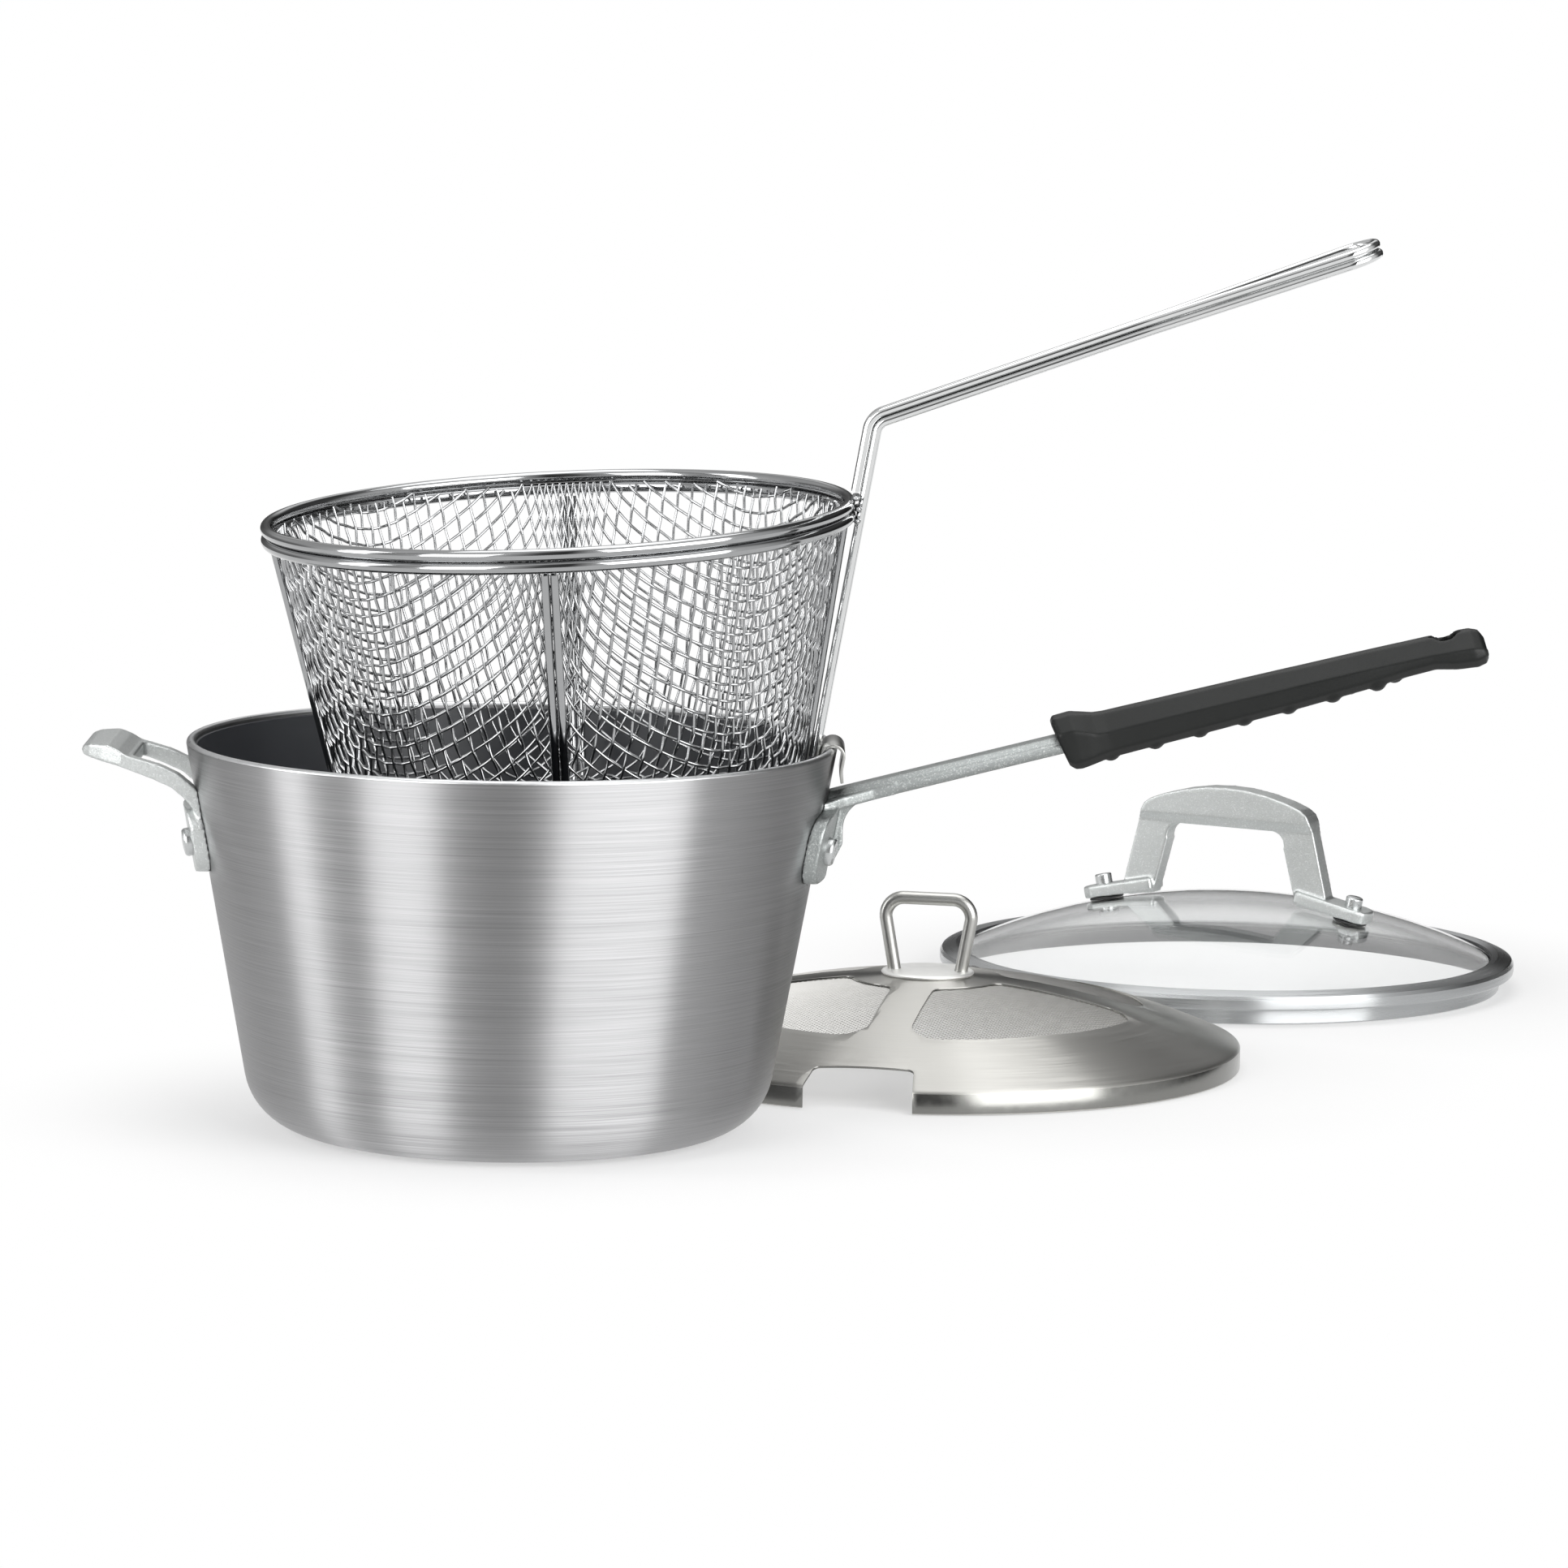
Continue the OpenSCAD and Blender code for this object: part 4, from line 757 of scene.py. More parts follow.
def hairpin(layer, foot):
    """One hairpin of handle wire, from a leg's foot over the bend to the end loop and back."""
    radius = BEND_R + layer * WIRE_STEP
    centre = on_leg(BEND_H) + BEND_R * LEG_OUT
    start = centre + radius * BAR_UP
    loop_r, spread = 11.0, rad(6.6)
    along = BASKET_HANDLE - loop_r
    fork = along - (loop_r - WIRE_STEP / 2 * cos(spread)) / sin(spread)
    bend = arc(centre.x, centre.z, radius, 180 - math.degrees(LEG_LEAN), 90 + math.degrees(BASKET_RISE), 10)
    side = [foot] + [Vector((x, 0, z)) for x, z in bend]
    side += [start + (fork - 6) * BAR_ALONG, start + (fork - 2) * BAR_ALONG]
    points = [p + Vector((0, WIRE_STEP / 2, 0)) for p in side]
    points.append(start + (fork + 2) * BAR_ALONG + Vector((0, WIRE_STEP / 2 + 2 * tan(spread), 0)))
    turn_points = arc(along, 0, loop_r, 90 + math.degrees(spread), 0, 10)
    points += [start + u * BAR_ALONG + Vector((0, v, 0)) for u, v in turn_points]
    return points + [Vector((p.x, -p.y, p.z)) for p in points[-2::-1]]


def make_basket_handle():
    """Two hairpins, one on the other; the upper one's legs end above the rim."""
    lower = wire("handle_wire_low", hairpin(0, on_leg(LEG_LOW_Z)), HANDLE_D, 5)
    basket_piece(lower, HANDLE_CHROME_PAINTED_LIGHT, "basket_handle_lower_loop")
    upper = wire("handle_wire_top", hairpin(1, on_leg(1.2) - WIRE_STEP * LEG_OUT), HANDLE_D, 5)
    basket_piece(upper, HANDLE_CHROME_PAINTED_LIGHT, "basket_handle_upper_loop")


def make_weld_beads():
    """Small weld fillets where the handle's legs pass the two rim rings."""
    beads = []
    for z, out in ((-RING_D, 0.2), (-0.4, -1.4), (-2 * RING_D, 0.6)):
        for side in (-1, 0, 1):
            pick()
            bpy.ops.mesh.primitive_ico_sphere_add(subdivisions=3, radius=1.5 * MM)
            centre = on_leg(z) + Vector((out - HANDLE_D / 2, side * 3.4, 0))
            flattened = Matrix.Translation(centre) @ Matrix.Diagonal((1, 1.3, 0.8, 1))
            beads.append(place(bpy.context.object, flattened))
    basket_piece(joined("weld_beads", beads), CLOTH_WIRE)


def make_hook():
    """A sprung strip folded over the pot's rim, its tip turned out."""
    inner_len, outer_len, lip_len, flare = 18.0, 6.0, 3.8, rad(18)
    mid = HOOK_R + HOOK_T / 2
    line = [(-mid, -inner_len), (-mid, -inner_len / 2)] + arc(0, 0, mid, 180, 0, 14)
    line += [(mid, -outer_len + 1.5), (mid + 0.15, -outer_len - 0.6)]
    line += [(mid + lip_len * sin(flare), -outer_len - lip_len * cos(flare))]
    strip = draw_chain("hook_strip", [(x, -HOOK_W / 2, z) for x, z in line])
    bpy.ops.mesh.extrude_region_move(TRANSFORM_OT_translate={"value": (0, HOOK_W * MM, 0)})
    tidy_faces()
    object_mode()
    add_modifier(strip, "SOLIDIFY", thickness=HOOK_T * MM, offset=0)
    add_modifier(strip, "BEVEL", width=0.25 * MM, segments=2, angle_limit=rad(50))
    place(strip, Matrix.Translation(HOOK_CENTRE) @ turn(LEG_LEAN, "Y"))
    basket_piece(strip, SATIN_STEEL, "basket_rim_hook")


# The cloth's corner turns by this angle, and its wall starts at this distance from the floor's centre
CORNER_TURN = math.pi / 2 - BASKET_TAPER
CLOTH_WALL = CORNER_C + BASKET_CORNER * CORNER_TURN


def cloth_profile(s):
    """Radius and height on the basket's wall at a distance along it from the floor's centre."""
    if s <= CORNER_C:
        return s, -BASKET_DEPTH
    a = min((s - CORNER_C) / BASKET_CORNER, CORNER_TURN)
    d = max(s - CLOTH_WALL, 0.0)
    return (CORNER_C + BASKET_CORNER * sin(a) + d * sin(BASKET_TAPER),
            -BASKET_DEPTH + BASKET_CORNER * (1 - cos(a)) + d * cos(BASKET_TAPER))


def cloth_point(s, turn_angle, lift):
    """A point on the basket's wall, lifted along the wall's outward normal."""
    r, z = cloth_profile(s)
    r1, z1 = cloth_profile(s + 0.01)
    length = math.hypot(r1 - r, z1 - z)
    nr, nz = (z1 - z) / length, -(r1 - r) / length
    r, z = r + nr * lift, z + nz * lift
    return Vector((r * cos(turn_angle), r * sin(turn_angle), z))


# The pitch between two wires side by side, and how many half pitches the net is solved for
CLOTH_PITCH, CLOTH_COUNT = 6.5, 88
CLOTH_END = CLOTH_WALL + (CLOTH_TOP - 1.5 - cloth_profile(CLOTH_WALL)[1]) / cos(BASKET_TAPER)


def drawn_cloth_net():
    """Where the wires of a flat square cloth cross once it is drawn into the basket's shape.

    Each wire keeps its length between two crossings. So the cloth stays square where its wires run
    up the wall, and is pulled into narrow diamonds half way between those places. The net is
    solved at half the cloth's pitch: its odd places are crossings, the others lie between them.
    """
    p = CLOTH_PITCH / 2
    net = {(0, 0): (0.0, rad(45))}
    for i in range(1, CLOTH_COUNT):
        net[i, 0], net[0, i] = (i * p, 0.0), (i * p, rad(90))

    def spot(s, f):
        """The point of the wall at a distance along it and an angle round it."""
        r, z = cloth_profile(s)
        return r * cos(f), r * sin(f), z

    def gap(a, b):
        """Distance between two points."""
        return math.sqrt((a[0] - b[0]) ** 2 + (a[1] - b[1]) ** 2 + (a[2] - b[2]) ** 2)

    for i in range(1, CLOTH_COUNT):
        for j in range(1, i + 1):
            corners = [net.get(k) for k in ((i - 1, j), (i, j - 1), (i - 1, j - 1))]
            if None in corners:
                continue
            a, b, c = (spot(*k) for k in corners)
            s = max(corners[0][0], corners[1][0]) + p / 2
            f = math.atan2(a[1] + b[1] - c[1], a[0] + b[0] - c[0])
            for _ in range(30):  # Newton's steps, until the place is one pitch from both neighbours
                x = spot(s, f)
                miss_a, miss_b = gap(x, a) - p, gap(x, b) - p
                if max(abs(miss_a), abs(miss_b)) < 1e-6:
                    break
                xs, xf = spot(s + 1e-5, f), spot(s, f + 1e-5)
                m00, m01 = (gap(xs, a) - p - miss_a) * 1e5, (gap(xf, a) - p - miss_a) * 1e5
                m10, m11 = (gap(xs, b) - p - miss_b) * 1e5, (gap(xf, b) - p - miss_b) * 1e5
                det = m00 * m11 - m01 * m10
                if abs(det) < 1e-9:
                    break
                step_s, step_f = (-miss_a * m11 + miss_b * m01) / det, (-miss_b * m00 + miss_a * m10) / det
                limit = max(abs(step_s) / 2, abs(step_f) * cloth_profile(s)[0] / 2, 1)
                s, f = s + step_s / limit, f + step_f / limit
            else:
                continue
            if gap(spot(s, f), c) > 0.5 and s < CLOTH_END + 3 * p:
                net[i, j], net[j, i] = (s, f), (s, rad(90) - f)
    return net


def eased(s, f):
    """An angle of the net, turned to the ribs and spread more evenly round the wall, as the press does."""
    off = (f % rad(90)) - rad(45)
    share = min(1.0, max(0.0, (s - CORNER_C) / 50))
    return f + 0.34 * share * sin(4 * off) / 4 + rad(45)


def make_cloth():
    """The basket's woven wire cloth: crimped wires that pass over and under each other.

    The wires of one half of one direction are drawn; turned copies give the other half and the
    other direction, whose wires pass over where these pass under.
    """
    net = drawn_cloth_net()
    crimp, thread, fewest = 0.46, 1.1, 4

    def crossing(i, j):
        """The net's place (i, j), which a quarter turn of the net gives where i is negative."""
        quarter = 0 if i >= 0 else 1
        found = net.get((i, j) if i >= 0 else (j, -i))
        return found and (found[0], found[1] + quarter * rad(90))

    wires = []
    for j in range(1, CLOTH_COUNT, 2):
        run = []
        for i in range(1 - CLOTH_COUNT, CLOTH_COUNT + 1):
            found = crossing(i, j)
            if found and found[0] <= CLOTH_END:
                lift = 0.0 if i % 2 == 0 else crimp * (1 if (i + j) % 4 == 0 else -1)
                run.append(cloth_point(found[0], eased(*found), lift))
            else:
                if len(run) >= fewest:
                    wires.append(draw_chain("cloth_wire", run))
                run = []
    half = rounded_wire(joined("cloth_rows", wires), thread, 1, bends=2)
    along = joined("cloth_wires_a", [half, copy_of(half, "far_half", turn(rad(180), "Z"))])
    across = copy_of(along, "cloth_wires_b", turn(rad(90), "Z"))
    basket_piece(along, CLOTH_WIRE, "basket_corner_wires", "basket_floor_wires", angle=80)
    basket_piece(across, CLOTH_WIRE, "basket_side_wires", "basket_hoop_wires", angle=80)


# ---------------------------------------------------------------- splatter lid
def dome_radius(edge_r, rise):
    """Radius of the ball that a dome is cut from."""
    return (edge_r ** 2 + rise ** 2) / 2 / rise


SPLATTER_DOME = dome_radius(SPLATTER_R, SPLATTER_RISE)
SPLATTER_TOP = SKIRT_H + SPLATTER_RISE


def splatter_z(r, drop=0.0):
    """Height of the splatter lid's dome at a radius, or of a surface below it."""
    return SPLATTER_TOP - SPLATTER_DOME + math.sqrt((SPLATTER_DOME - drop) ** 2 - r * r)


def splatter_place(obj):
    """Lays a piece of the splatter lid in its place on the floor."""
    return place(obj, Matrix.Translation(SPLATTER_AT) @ turn(SPLATTER_TURN, "Z"))


def window_points():
    """Outline of one window: a quarter ring between two spokes, with round corners."""
    inner, outer, spoke, outer_corner, inner_corner = 31.0, 89.0, 8.5, 11.0, 6.0
    a = math.asin((spoke + outer_corner) / (outer - outer_corner))
    cx, cy = (outer - outer_corner) * cos(a), (outer - outer_corner) * sin(a)
    b = math.asin((spoke + inner_corner) / (inner + inner_corner))
    bx, by = (inner + inner_corner) * cos(b), (inner + inner_corner) * sin(b)
    a, b = math.degrees(a), math.degrees(b)
    return (arc(cx, cy, outer_corner, -90, a, 8) + arc(0, 0, outer, a + 3, 87 - a, 12)
            + arc(cy, cx, outer_corner, 90 - a, 180, 8) + arc(by, bx, inner_corner, 180, 270 - b, 5)
            + arc(0, 0, inner, 86 - b, b + 4, 5) + arc(bx, by, inner_corner, 180 + b, 270, 5))


def notch_points():
    """Outline of the notch that clears the pot's handle: round inner corners, a slightly flared mouth."""
    depth, half, corner, off_centre = 16.0, 20.5, 3.0, -3.5
    top = depth - SPLATTER_R
    side = [(half - corner + corner * sin(rad(a)), top - corner + corner * cos(rad(a)))
            for a in (0, 20, 45, 70)]
    side += [(half + 0.2, top - 5), (half + 3, -SPLATTER_R - 6)]
    return [(x + off_centre, y) for x, y in side + [(-x, y) for x, y in side[::-1]]]


def make_splatter_lid():
    """Domed sheet with a rolled edge and skirt, four windows and the notch."""
    edge = SPLATTER_R
    top = [(r, splatter_z(r)) for r in (0, 15, 30, 45, 60, 72, 84, 95, 105, 114)]
    rim = [(edge - 6, splatter_z(edge - 6)), (edge - 2.5, splatter_z(edge - 2.5)),
           (edge - 1.0, splatter_z(edge - 1.0) - 0.08), (edge - 0.35, SKIRT_H - 0.2), (edge, SKIRT_H - 0.9),
           (edge, 0.4), (edge - 0.25, 0)]
    sheet = turned("splatter_sheet", top + rim, 192, closed=False)
    add_modifier(sheet, "SOLIDIFY", thickness=SHEET * MM, offset=-1)
    for quarter in range(4):
        window = pressed("window", [(x, y, 5) for x, y in window_points()], (0, 0, 60))
        cut(sheet, place(window, turn(quarter * rad(90), "Z")))
    cut(sheet, pressed("notch", [(x, y, -5) for x, y in notch_points()], (0, 0, 60)))
    add_modifier(sheet, "BEVEL", width=0.22 * MM, segments=2, angle_limit=rad(50))
    splatter_place(sheet)
    finished(sheet, "splatter_lid", "lid_steel", SPLATTER_STEEL, "splatter_lid_shell", angle=30)
    # Upright faces, the skirt and the windows' cut edges, take the steel painted darker as shade
    other_material(sheet, SKIRT_STEEL_PAINTED_SHADE, lambda at, normal: abs(normal.z) < 0.4)


def make_screen():
    """Fine wire cloth under the windows, two layers of wires laid across each other.

    The real cloth has about one wire each 0.8 mm; it is drawn at 1.5 mm so that it shows.
    One half of one layer is drawn; the rest is turned copies of it.
    """
    pitch, reach, thread = 1.5, 93.0, 0.56
    rows = []
    for line in range(int(reach / pitch)):
        v = (line + 0.5) * pitch
        half = math.sqrt(reach ** 2 - v * v)
        steps = max(2, int(half / 4))
        along = [half * (k / steps - 1) for k in range(2 * steps + 1)]
        points = [(u, v, splatter_z(math.hypot(u, v), SHEET + 0.3)) for u in along]
        rows.append(draw_chain("screen_wire", points))
    near_half = rounded_wire(joined("screen_rows", rows), thread, 0)
    layer = joined("screen_layer", [near_half, copy_of(near_half, "far_half", turn(rad(180), "Z"))])
    under = copy_of(layer, "under_layer", shift(0, 0, -0.24) @ turn(rad(90), "Z"))
    screen = place(joined("screen_wires", [layer, under]), turn(rad(45), "Z"))
    splatter_place(screen)
    finished(screen, "splatter_lid", "screen_mesh", SCREEN_WIRE, "splatter_lid_screen", angle=80)


def make_splatter_knob():
    """The disc at the dome's crown and the wire loop that stands on it."""
    disc_z = SPLATTER_TOP + 0.1
    face = [(0, -1.0), (17.5, -1.0), (18.4, -0.6), (19, 0.1), (19, 0.5), (18.6, 0.95), (17.8, 1.15)]
    face = [(r, disc_z + z) for r, z in face + [(0, 1.25)]]
    disc = splatter_place(turned("loop_disc", face, 96, closed=False))
    # The disc takes steel painted nearly white as light
    finished(disc, "splatter_lid", "lid_steel", DISC_STEEL_PAINTED_LIGHT, "splatter_lid_disc")

    diameter, foot, corner, flare = 5.4, 13.9, 7.5, 6.0
    foot_z = disc_z + 1.2
    top_z = foot_z + 32 - diameter / 2
    shoulder = foot + (top_z - foot_z) * tan(rad(flare)) - corner * (1 - sin(rad(flare)))
    bend = arc(shoulder, top_z - corner, corner, -flare, 90, 10)
    right = [(foot - 0.4, foot_z - 3), (foot, foot_z)] + bend
    points = [(x, 0, z) for x, z in right] + [(-x, 0, z) for x, z in right[::-1]]
    loop = splatter_place(wire("loop_wire", points, diameter, 6))
    finished(loop, "splatter_lid", "lid_steel", SATIN_STEEL, "splatter_lid_loop")


# ---------------------------------------------------------------- glass lid
GLASS_EDGE_R = GLASS_R - 7
BAND_TOP = DROP_H + BAND_H
GLASS_EDGE_Z = BAND_TOP - 2
GLASS_TOP = GLASS_EDGE_Z + GLASS_RISE + 1
GLASS_DOME = dome_radius(GLASS_EDGE_R, GLASS_TOP - GLASS_EDGE_Z)


def glass_z(r, drop=0.0):
    """Height of the glass at a radius, or of a surface below it."""
    return GLASS_TOP - GLASS_DOME + math.sqrt((GLASS_DOME - drop) ** 2 - r * r)


def glass_place(obj):
    """Lays a piece of the glass lid in its place on the floor."""
    return place(obj, Matrix.Translation(GLASS_AT) @ turn(GLASS_TURN, "Z"))


def screw_matrix(side):
    """From a frame whose +Z leaves the glass to one of the two screws."""
    from_middle = 59.5
    lean = math.asin(from_middle / GLASS_DOME)
    flip = turn(0 if side > 0 else rad(180), "Z")
    return shift(0, 0, GLASS_TOP - GLASS_DOME) @ turn(side * lean, "Y") @ shift(0, 0, GLASS_DOME) @ flip


def make_glass():
    """The domed pane, with a rounded edge that the band hides."""
    radii = [0, 14, 28, 42, 56, 70, 84, 96, 106, 114, GLASS_EDGE_R - 0.6]
    upper = [(r, glass_z(r)) for r in radii]
    lower = [(r, glass_z(r, GLASS_T)) for r in radii]
    edge = [(GLASS_EDGE_R, glass_z(GLASS_EDGE_R) - 0.8), (GLASS_EDGE_R, glass_z(GLASS_EDGE_R, GLASS_T) + 0.8)]
    dome = glass_place(turned("glass_pane", upper + edge + lower[::-1], 160, closed=False))
    finished(dome, "glass_lid", "lid_glass", GLASS, "glass_dome")


def faces_axis(at, normal):
    """Tells whether a face of the band looks towards the lid's axis."""
    inward = GLASS_AT * MM - at
    inward.z = 0
    return normal.dot(inward.normalized()) > 0.5


def make_band():
    """Rolled steel band: a step for the pot's rim, a flange below it and a lip over the glass."""
    r, edge, drop_r = GLASS_R, GLASS_EDGE_R, pot_r(POT_H - LIP_R) - POT_WALL - 1
    seat = glass_z(edge - 3) + 0.15
    low = glass_z(edge, GLASS_T) - 0.3
    profile = [(drop_r - 1.2, 0.2), (drop_r - 0.3, 0), (drop_r, 0.4), (drop_r, DROP_H - 0.5),
               (drop_r + 0.5, DROP_H), (r - 1, DROP_H + 0.1), (r - 0.2, DROP_H + 0.8), (r, DROP_H + 2),
               (r - 0.1, BAND_TOP - 2.4), (r - 1.0, BAND_TOP - 0.9), (r - 3, BAND_TOP),
               (r - 7, BAND_TOP + 0.95), (edge - 2.6, seat + 0.75), (edge - 3.2, seat + 0.4),
               (edge - 3.2, seat), (edge + 0.2, glass_z(edge) + 0.1), (edge + 0.2, low),
               (drop_r - 1.5, low), (drop_r - 1.5, 0.5)]
    band = glass_place(turned("lid_band", profile, 192))
    finished(band, "glass_lid", "lid_steel", BAND_STEEL, "glass_lid_band", angle=22)
    # Faces towards the lid's axis take the steel painted dark as shade
    other_material(band, BAND_PAINTED_SHADE, faces_axis)


def make_bridge():
    """Cast bridge handle: a wide arch with a step along its underside and two flat feet."""
    top, foot_z = BRIDGE_TOP, GLASS_TOP - 3.2
    outer = [(-50.5, foot_z + 2), (-42.5, top - 17), (-41.2, top - 12.5), (-39.5, top - 9.4),
             (-36.5, top - 7.2)]
    outer += [(x, top - x * x / 190.0) for x in (-30, -20, -10, 0, 10, 20, 30)]
    outer += [(-x, z) for x, z in outer[4::-1]]
    inner = [(36.5, foot_z - 4)] + arc(22.3, top - 23.8, 6.2, -12, 90, 8)
    inner += [(-x, z) for x, z in inner[::-1]]
    arch = pressed("arch", [(x, -5.6, z) for x, z in outer + inner], (0, 11.2, 0))
    # The legs are thinner than the arch; a sloping face leads down to them
    lower = [(4.1, 0), (4.1, top - 17.2), (5.8, top - 12.8), (9, top - 12.8), (9, 0)]
    for side in (-1, 1):
        cut(arch, pressed("step", [(-60, side * y, z) for y, z in lower], (120, 0, 0)))
    outline = [(-26, 6.6), (4, 7.6), (8, 5.6), (9.2, 2)]
    outline += [(x, -y) for x, y in outline[::-1]]
    feet = []
    for side in (-1, 1):
        foot = pressed("foot", [(x, y, 1.1) for x, y in outline], (0, 0, 5.6))
        add_modifier(foot, "BEVEL", width=0.9 * MM, segments=2, angle_limit=rad(40))
        feet.append(place(foot, screw_matrix(side)))
    above_glass = [(r, glass_z(r) + 1.05) for r in (0, 20, 40, 60, 80, 100)]
    glass_space = turned("glass_space", above_glass + [(100, -10), (0, -10)], 96, closed=False)
    bridge = glass_place(casting("bridge_casting", [arch] + feet, glass_space, 0.5))
    finished(bridge, "glass_lid", "cast_metal", CAST_ALUMINIUM, "glass_lid_bridge", angle=60)


def make_screws():
    """At each foot: a stud over it, and under the glass a nut on its washer; a gasket lies between."""
    stub = [(0, -1), (3.75, -1), (3.75, 3.4)] + arc(2.9, 3.5, 0.85, 10, 80, 4) + [(0, 4.5)]
    under = [(0, 0.2), (4.5, 0.2), (4.5, -1.2), (3.9, -2.2), (2.4, -2.6), (0, -2.7)]
    ring = [(2.6, 0), (7.4, 0), (7.5, -0.4), (7.3, -1.1), (2.6, -1.2)]
    skirt = [(2.6, 0.02), (7.4, 0.02), (7.6, 0.4), (7.3, 0.95), (2.6, 1.0)]
    screws, washers, gaskets = [], [], []
    for side in (-1, 1):
        base = screw_matrix(side)
        screws.append(place(turned("stub", stub, 40, closed=False), base @ shift(0, 0, 6.7)))
        screws.append(place(turned("nut", under, 40, closed=False), base @ shift(0, 0, -GLASS_T - 1.5)))
        washers.append(place(turned("ring", ring, 40), base @ shift(0, 0, -GLASS_T - 0.3)))
        gaskets.append(place(turned("pad", skirt, 40), base))
    for name, parts, slot, material, node in (
            ("screw_stubs", screws, "lid_steel", RIVET_ALUMINIUM, "glass_lid_screws"),
            ("screw_washers", washers, "lid_steel", SATIN_STEEL, "glass_lid_washers"),
            ("foot_gaskets", gaskets, "gasket", GASKET, "glass_lid_gaskets")):
        finished(glass_place(joined(name, parts)), "glass_lid", slot, material, node)


# ---------------------------------------------------------------- studio
# Camera: its place in mm, its angles in radians, its focal length and frame in pixels, its sensor in mm
CAMERA_AT = Vector((100.66, -2600.26, 475.54))
CAMERA_YAW, CAMERA_PITCH, CAMERA_ROLL = -0.001458, 0.130457, 0.015702
FOCAL_PX, FRAME_PX, SENSOR = 8415.6, 1932, 36.0
WHITE, BLACK, CEILING = (1, 1, 1, 1), (0, 0, 0, 1), (0.85, 0.85, 0.85, 1)
# How far from each item's middle the floor keeps its full shadow; the splatter lid's is its own radius
POT_SHADOW_R, GLASS_SHADOW_R = 107, GLASS_R - 6
# What metal mirrors round the set, as bearings from the camera's side in degrees and levels from 0 to 1
SCREENS = ((-180, 0.25), (-165, 0.2), (-145, 0.6), (-122, 0.6), (-106, 0.7), (-80, 0.95), (-70, 0.45),
           (-60, 0.6), (-48, 0.9), (-24, 0.9), (-7, 0.12), (5, 0.05), (18, 0.9), (62, 1.0), (90, 0.7),
           (112, 0.1), (168, 0.05), (180, 0.25))
# Bearing from the camera's side in degrees; distance, height of the middle, width, height in metres; watts
SOFTBOXES = {"left_softbox": (-82, 2.2, 0.85, 0.6, 1.7, 15.0),
             "front_left_softbox": (-38, 2.2, 0.85, 1.1, 1.7, 28.0),
             "front_right_softbox": (44, 2.2, 0.85, 2.1, 1.7, 54.0),
             "top_softbox": (150, 0.25, 1.7, 1.3, 1.3, 11.0)}
LIGHTS_AIM = Vector((0.05, 0.05, 0.1))


def make_camera():
    """A long lens a little above the set, looking slightly down at it."""
    scene = bpy.context.scene
    scene.view_settings.view_transform = "Standard"
    camera = bpy.data.objects.new("studio_camera", bpy.data.cameras.new("studio_camera"))
    scene.collection.objects.link(camera)
    scene.camera = camera
    reach = cos(CAMERA_PITCH)
    ahead = Vector((-sin(CAMERA_YAW) * reach, cos(CAMERA_YAW) * reach, -sin(CAMERA_PITCH)))
    level = Vector((cos(CAMERA_YAW), sin(CAMERA_YAW), 0))
    above = level.cross(ahead)
    right = level * cos(CAMERA_ROLL) + above * sin(CAMERA_ROLL)
    above = above * cos(CAMERA_ROLL) - level * sin(CAMERA_ROLL)
    axes = Matrix((right, above, -ahead)).transposed().to_4x4()
    camera.matrix_world = Matrix.Translation(CAMERA_AT * MM) @ axes
    camera.data.sensor_width = SENSOR
    camera.data.lens = FOCAL_PX / FRAME_PX * SENSOR
    camera.data.clip_start, camera.data.clip_end = 0.1, 50


def make_floor():
    """A pale floor that keeps its shadow close to each item, and fades to plain white further out."""
    pick()
    bpy.ops.mesh.primitive_plane_add(size=6, location=(0.1, 0.15, -0.0005))
    floor = bpy.context.object
    floor.name = "floor"
    bpy.ops.object.transform_apply(location=True)
    material, tree, shader = new_material("pale floor", "#f4f4f4", 0.0, 0.6)
    path = add_node(tree, "LightPath").outputs
    position = add_node(tree, "TexCoord").outputs["Object"]

    def distance(spot):
        """Distance over the floor from a spot, in metres."""
        node = add_node(tree, "VectorMath", {"operation": "DISTANCE"}, in0=position, in1=spot)
        return node.outputs["Value"]

    items = ((Vector(), POT_SHADOW_R), (SPLATTER_AT, SPLATTER_R), (GLASS_AT, GLASS_SHADOW_R))
    nearest, *others = [add_node(tree, "Math", SUBTRACT, in0=distance(spot * MM), in1=radius * MM).outputs[0]
                        for spot, radius in items]
    for gap in others:
        nearest = add_node(tree, "Math", SMALLER, in0=nearest, in1=gap).outputs[0]
    direct = add_node(tree, "MapRange", SMOOTH, Value=nearest, in1=-0.01, in2=0.12, in3=0.45, in4=1.0)
    direct = add_node(tree, "Math", MULTIPLY, in0=direct.outputs[0], in1=path["Is Camera Ray"]).outputs[0]
    # In mirrors and through the glass it is whiter, and plain white past the set
    from_set = distance((0.13, 0.15, 0))
    mirrored = add_node(tree, "MapRange", SMOOTH, Value=from_set, in1=0.2, in2=0.46, in3=0.6, in4=1.0)
    seen = add_node(tree, "Math", LARGER, in0=path["Is Glossy Ray"], in1=path["Is Transmission Ray"])
    mirrored = add_node(tree, "Math", MULTIPLY, in0=mirrored.outputs[0], in1=seen.outputs[0]).outputs[0]
    share = add_node(tree, "Math", LARGER, in0=direct, in1=mirrored).outputs[0]
    white = add_node(tree, "Emission", (), Color=WHITE, Strength=1.0).outputs[0]
    mix = add_node(tree, "MixShader", (), in0=share, in1=shader.outputs[0], in2=white)
    tree.links.new(mix.outputs[0], tree.nodes["Material Output"].inputs["Surface"])
    floor.data.materials.append(material)


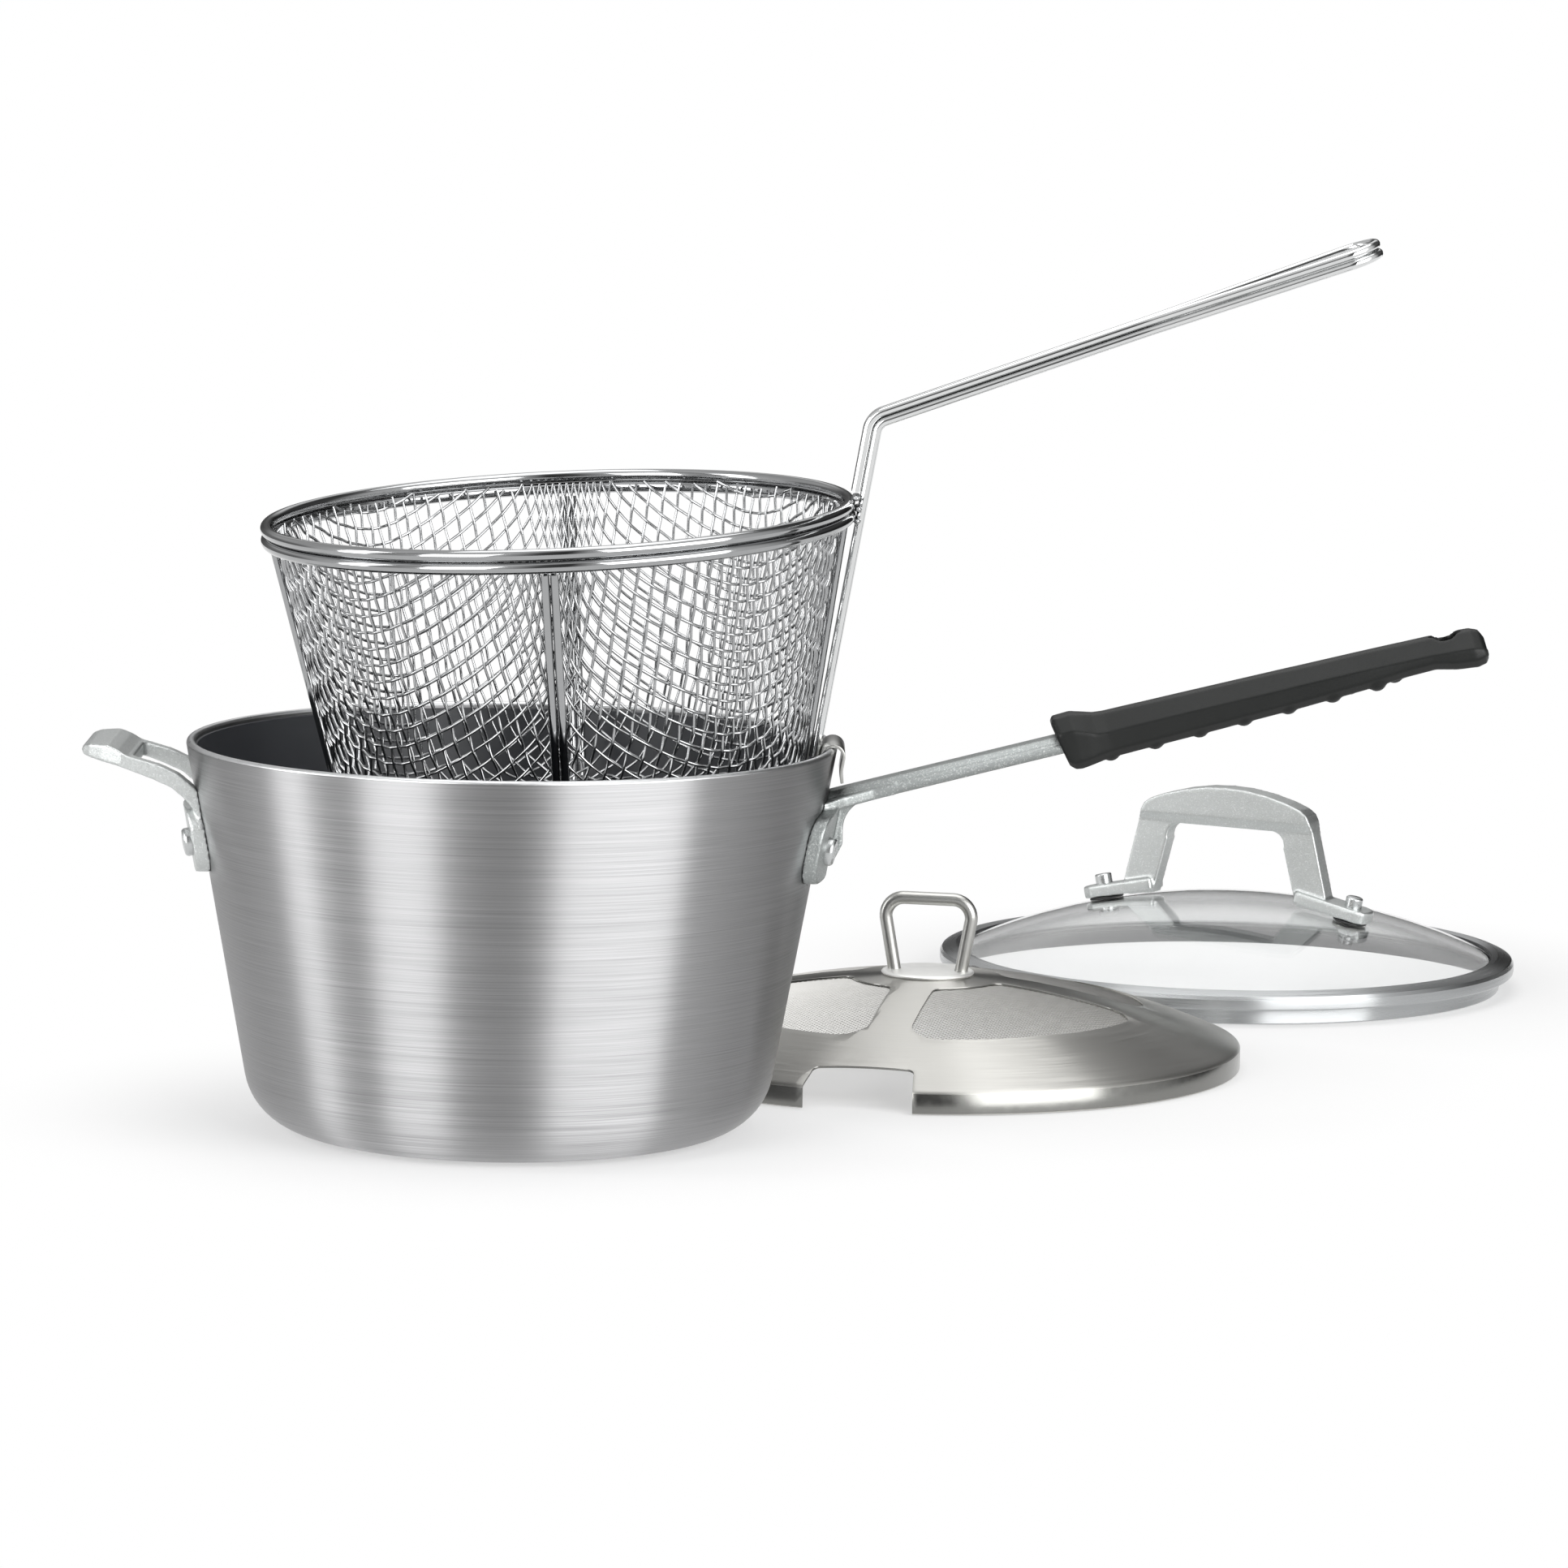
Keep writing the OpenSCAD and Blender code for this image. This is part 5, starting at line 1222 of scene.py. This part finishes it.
def make_room():
    """A white room, which metal sees as screens and gaps under a pale ceiling."""
    world = bpy.data.worlds.new("studio")
    bpy.context.scene.world = world
    world.use_nodes = True
    tree = world.node_tree
    tree.nodes.clear()
    path = add_node(tree, "LightPath").outputs
    x, y, z = add_node(tree, "SeparateXYZ", (), in0=add_node(tree, "TexCoord").outputs["Generated"]).outputs
    # Bearing from the camera's side, spread over 0 to 1
    toward = add_node(tree, "Math", MULTIPLY, in0=y, in1=-1.0).outputs[0]
    bearing = add_node(tree, "Math", {"operation": "ARCTAN2"}, in0=x, in1=toward).outputs[0]
    bearing = add_node(tree, "MapRange", (), Value=bearing, in1=-math.pi, in2=math.pi).outputs[0]
    screens = add_node(tree, "ValToRGB", (), Fac=bearing)
    stops = screens.color_ramp.elements
    stops[0].color, stops[1].color = (SCREENS[0][1],) * 3 + (1,), (SCREENS[-1][1],) * 3 + (1,)
    for degrees, level in SCREENS[1:-1]:
        stops.new((degrees + 180) / 360).color = (level,) * 3 + (1,)
    aloft = add_node(tree, "MapRange", SMOOTH, Value=z, in1=0.7, in2=0.95).outputs[0]
    upper = add_node(tree, "Mix", COLOUR, in0=aloft, in6=screens.outputs[0], in7=CEILING).outputs[2]
    # Low down behind the set it is darker
    level_up = add_node(tree, "MapRange", SMOOTH, Value=z, in1=0.12, in2=0.32).outputs[0]
    behind = add_node(tree, "MapRange", SMOOTH, Value=y, in1=0.2, in2=0.5, in3=1.0, in4=0.4).outputs[0]
    shade = add_node(tree, "Mix", {}, in0=level_up, in2=behind, in3=1.0).outputs[0]
    room = add_node(tree, "Mix", COLOUR, in0=shade, in6=BLACK, in7=upper).outputs[2]
    # A pale wall behind, from about 15 degrees up, which the tops of the lids mirror
    off_front = add_node(tree, "Math", SUBTRACT, in0=bearing, in1=0.5).outputs[0]
    off_front = add_node(tree, "Math", {"operation": "ABSOLUTE"}, in0=off_front).outputs[0]
    far_side = add_node(tree, "MapRange", SMOOTH, Value=off_front, in1=0.42, in2=0.48).outputs[0]
    raised = add_node(tree, "MapRange", SMOOTH, Value=z, in1=0.22, in2=0.42).outputs[0]
    wall = add_node(tree, "Math", MULTIPLY, in0=far_side, in1=raised).outputs[0]
    room = add_node(tree, "Mix", COLOUR, in0=wall, in6=room, in7=WHITE).outputs[2]
    mirrored = add_node(tree, "Background", (), Color=room, Strength=1.0).outputs[0]
    plain = add_node(tree, "Background", (), Color=WHITE, Strength=0.3).outputs[0]
    backdrop = add_node(tree, "Background", (), Color=WHITE, Strength=1.0).outputs[0]
    lit = add_node(tree, "MixShader", (), in0=path["Is Glossy Ray"], in1=plain, in2=mirrored).outputs[0]
    seen = add_node(tree, "Math", LARGER, in0=path["Is Camera Ray"], in1=path["Is Transmission Ray"])
    whole = add_node(tree, "MixShader", (), in0=seen.outputs[0], in1=lit, in2=backdrop).outputs[0]
    tree.links.new(whole, tree.nodes.new("ShaderNodeOutputWorld").inputs["Surface"])


def make_softboxes():
    """Three tall softboxes round the front and one overhead, all aimed at the set."""
    for name, (bearing, distance, middle, wide, tall, power) in SOFTBOXES.items():
        lamp = bpy.data.objects.new(name, bpy.data.lights.new(name, "AREA"))
        bpy.context.scene.collection.objects.link(lamp)
        lamp.data.shape = "RECTANGLE"
        lamp.data.size, lamp.data.size_y, lamp.data.energy = wide, tall, power
        lamp.location = (distance * sin(rad(bearing)), -distance * cos(rad(bearing)), middle)
        lamp.rotation_euler = (LIGHTS_AIM - lamp.location).to_track_quat("-Z", "Y").to_euler()


make_camera()
make_floor()
make_room()
make_softboxes()
make_pot()
make_long_handle()
make_rivets("long_handle_rivet_heads", 0.0, "long_handle_rivets")
make_grip()
make_helper_handle()
make_rivets("helper_rivet_heads", rad(180), "helper_handle_rivets")
make_basket_rings()
make_basket_ribs()
make_basket_handle()
make_weld_beads()
make_hook()
make_cloth()
make_splatter_lid()
make_screen()
make_splatter_knob()
make_glass()
make_band()
make_bridge()
make_screws()

pick()
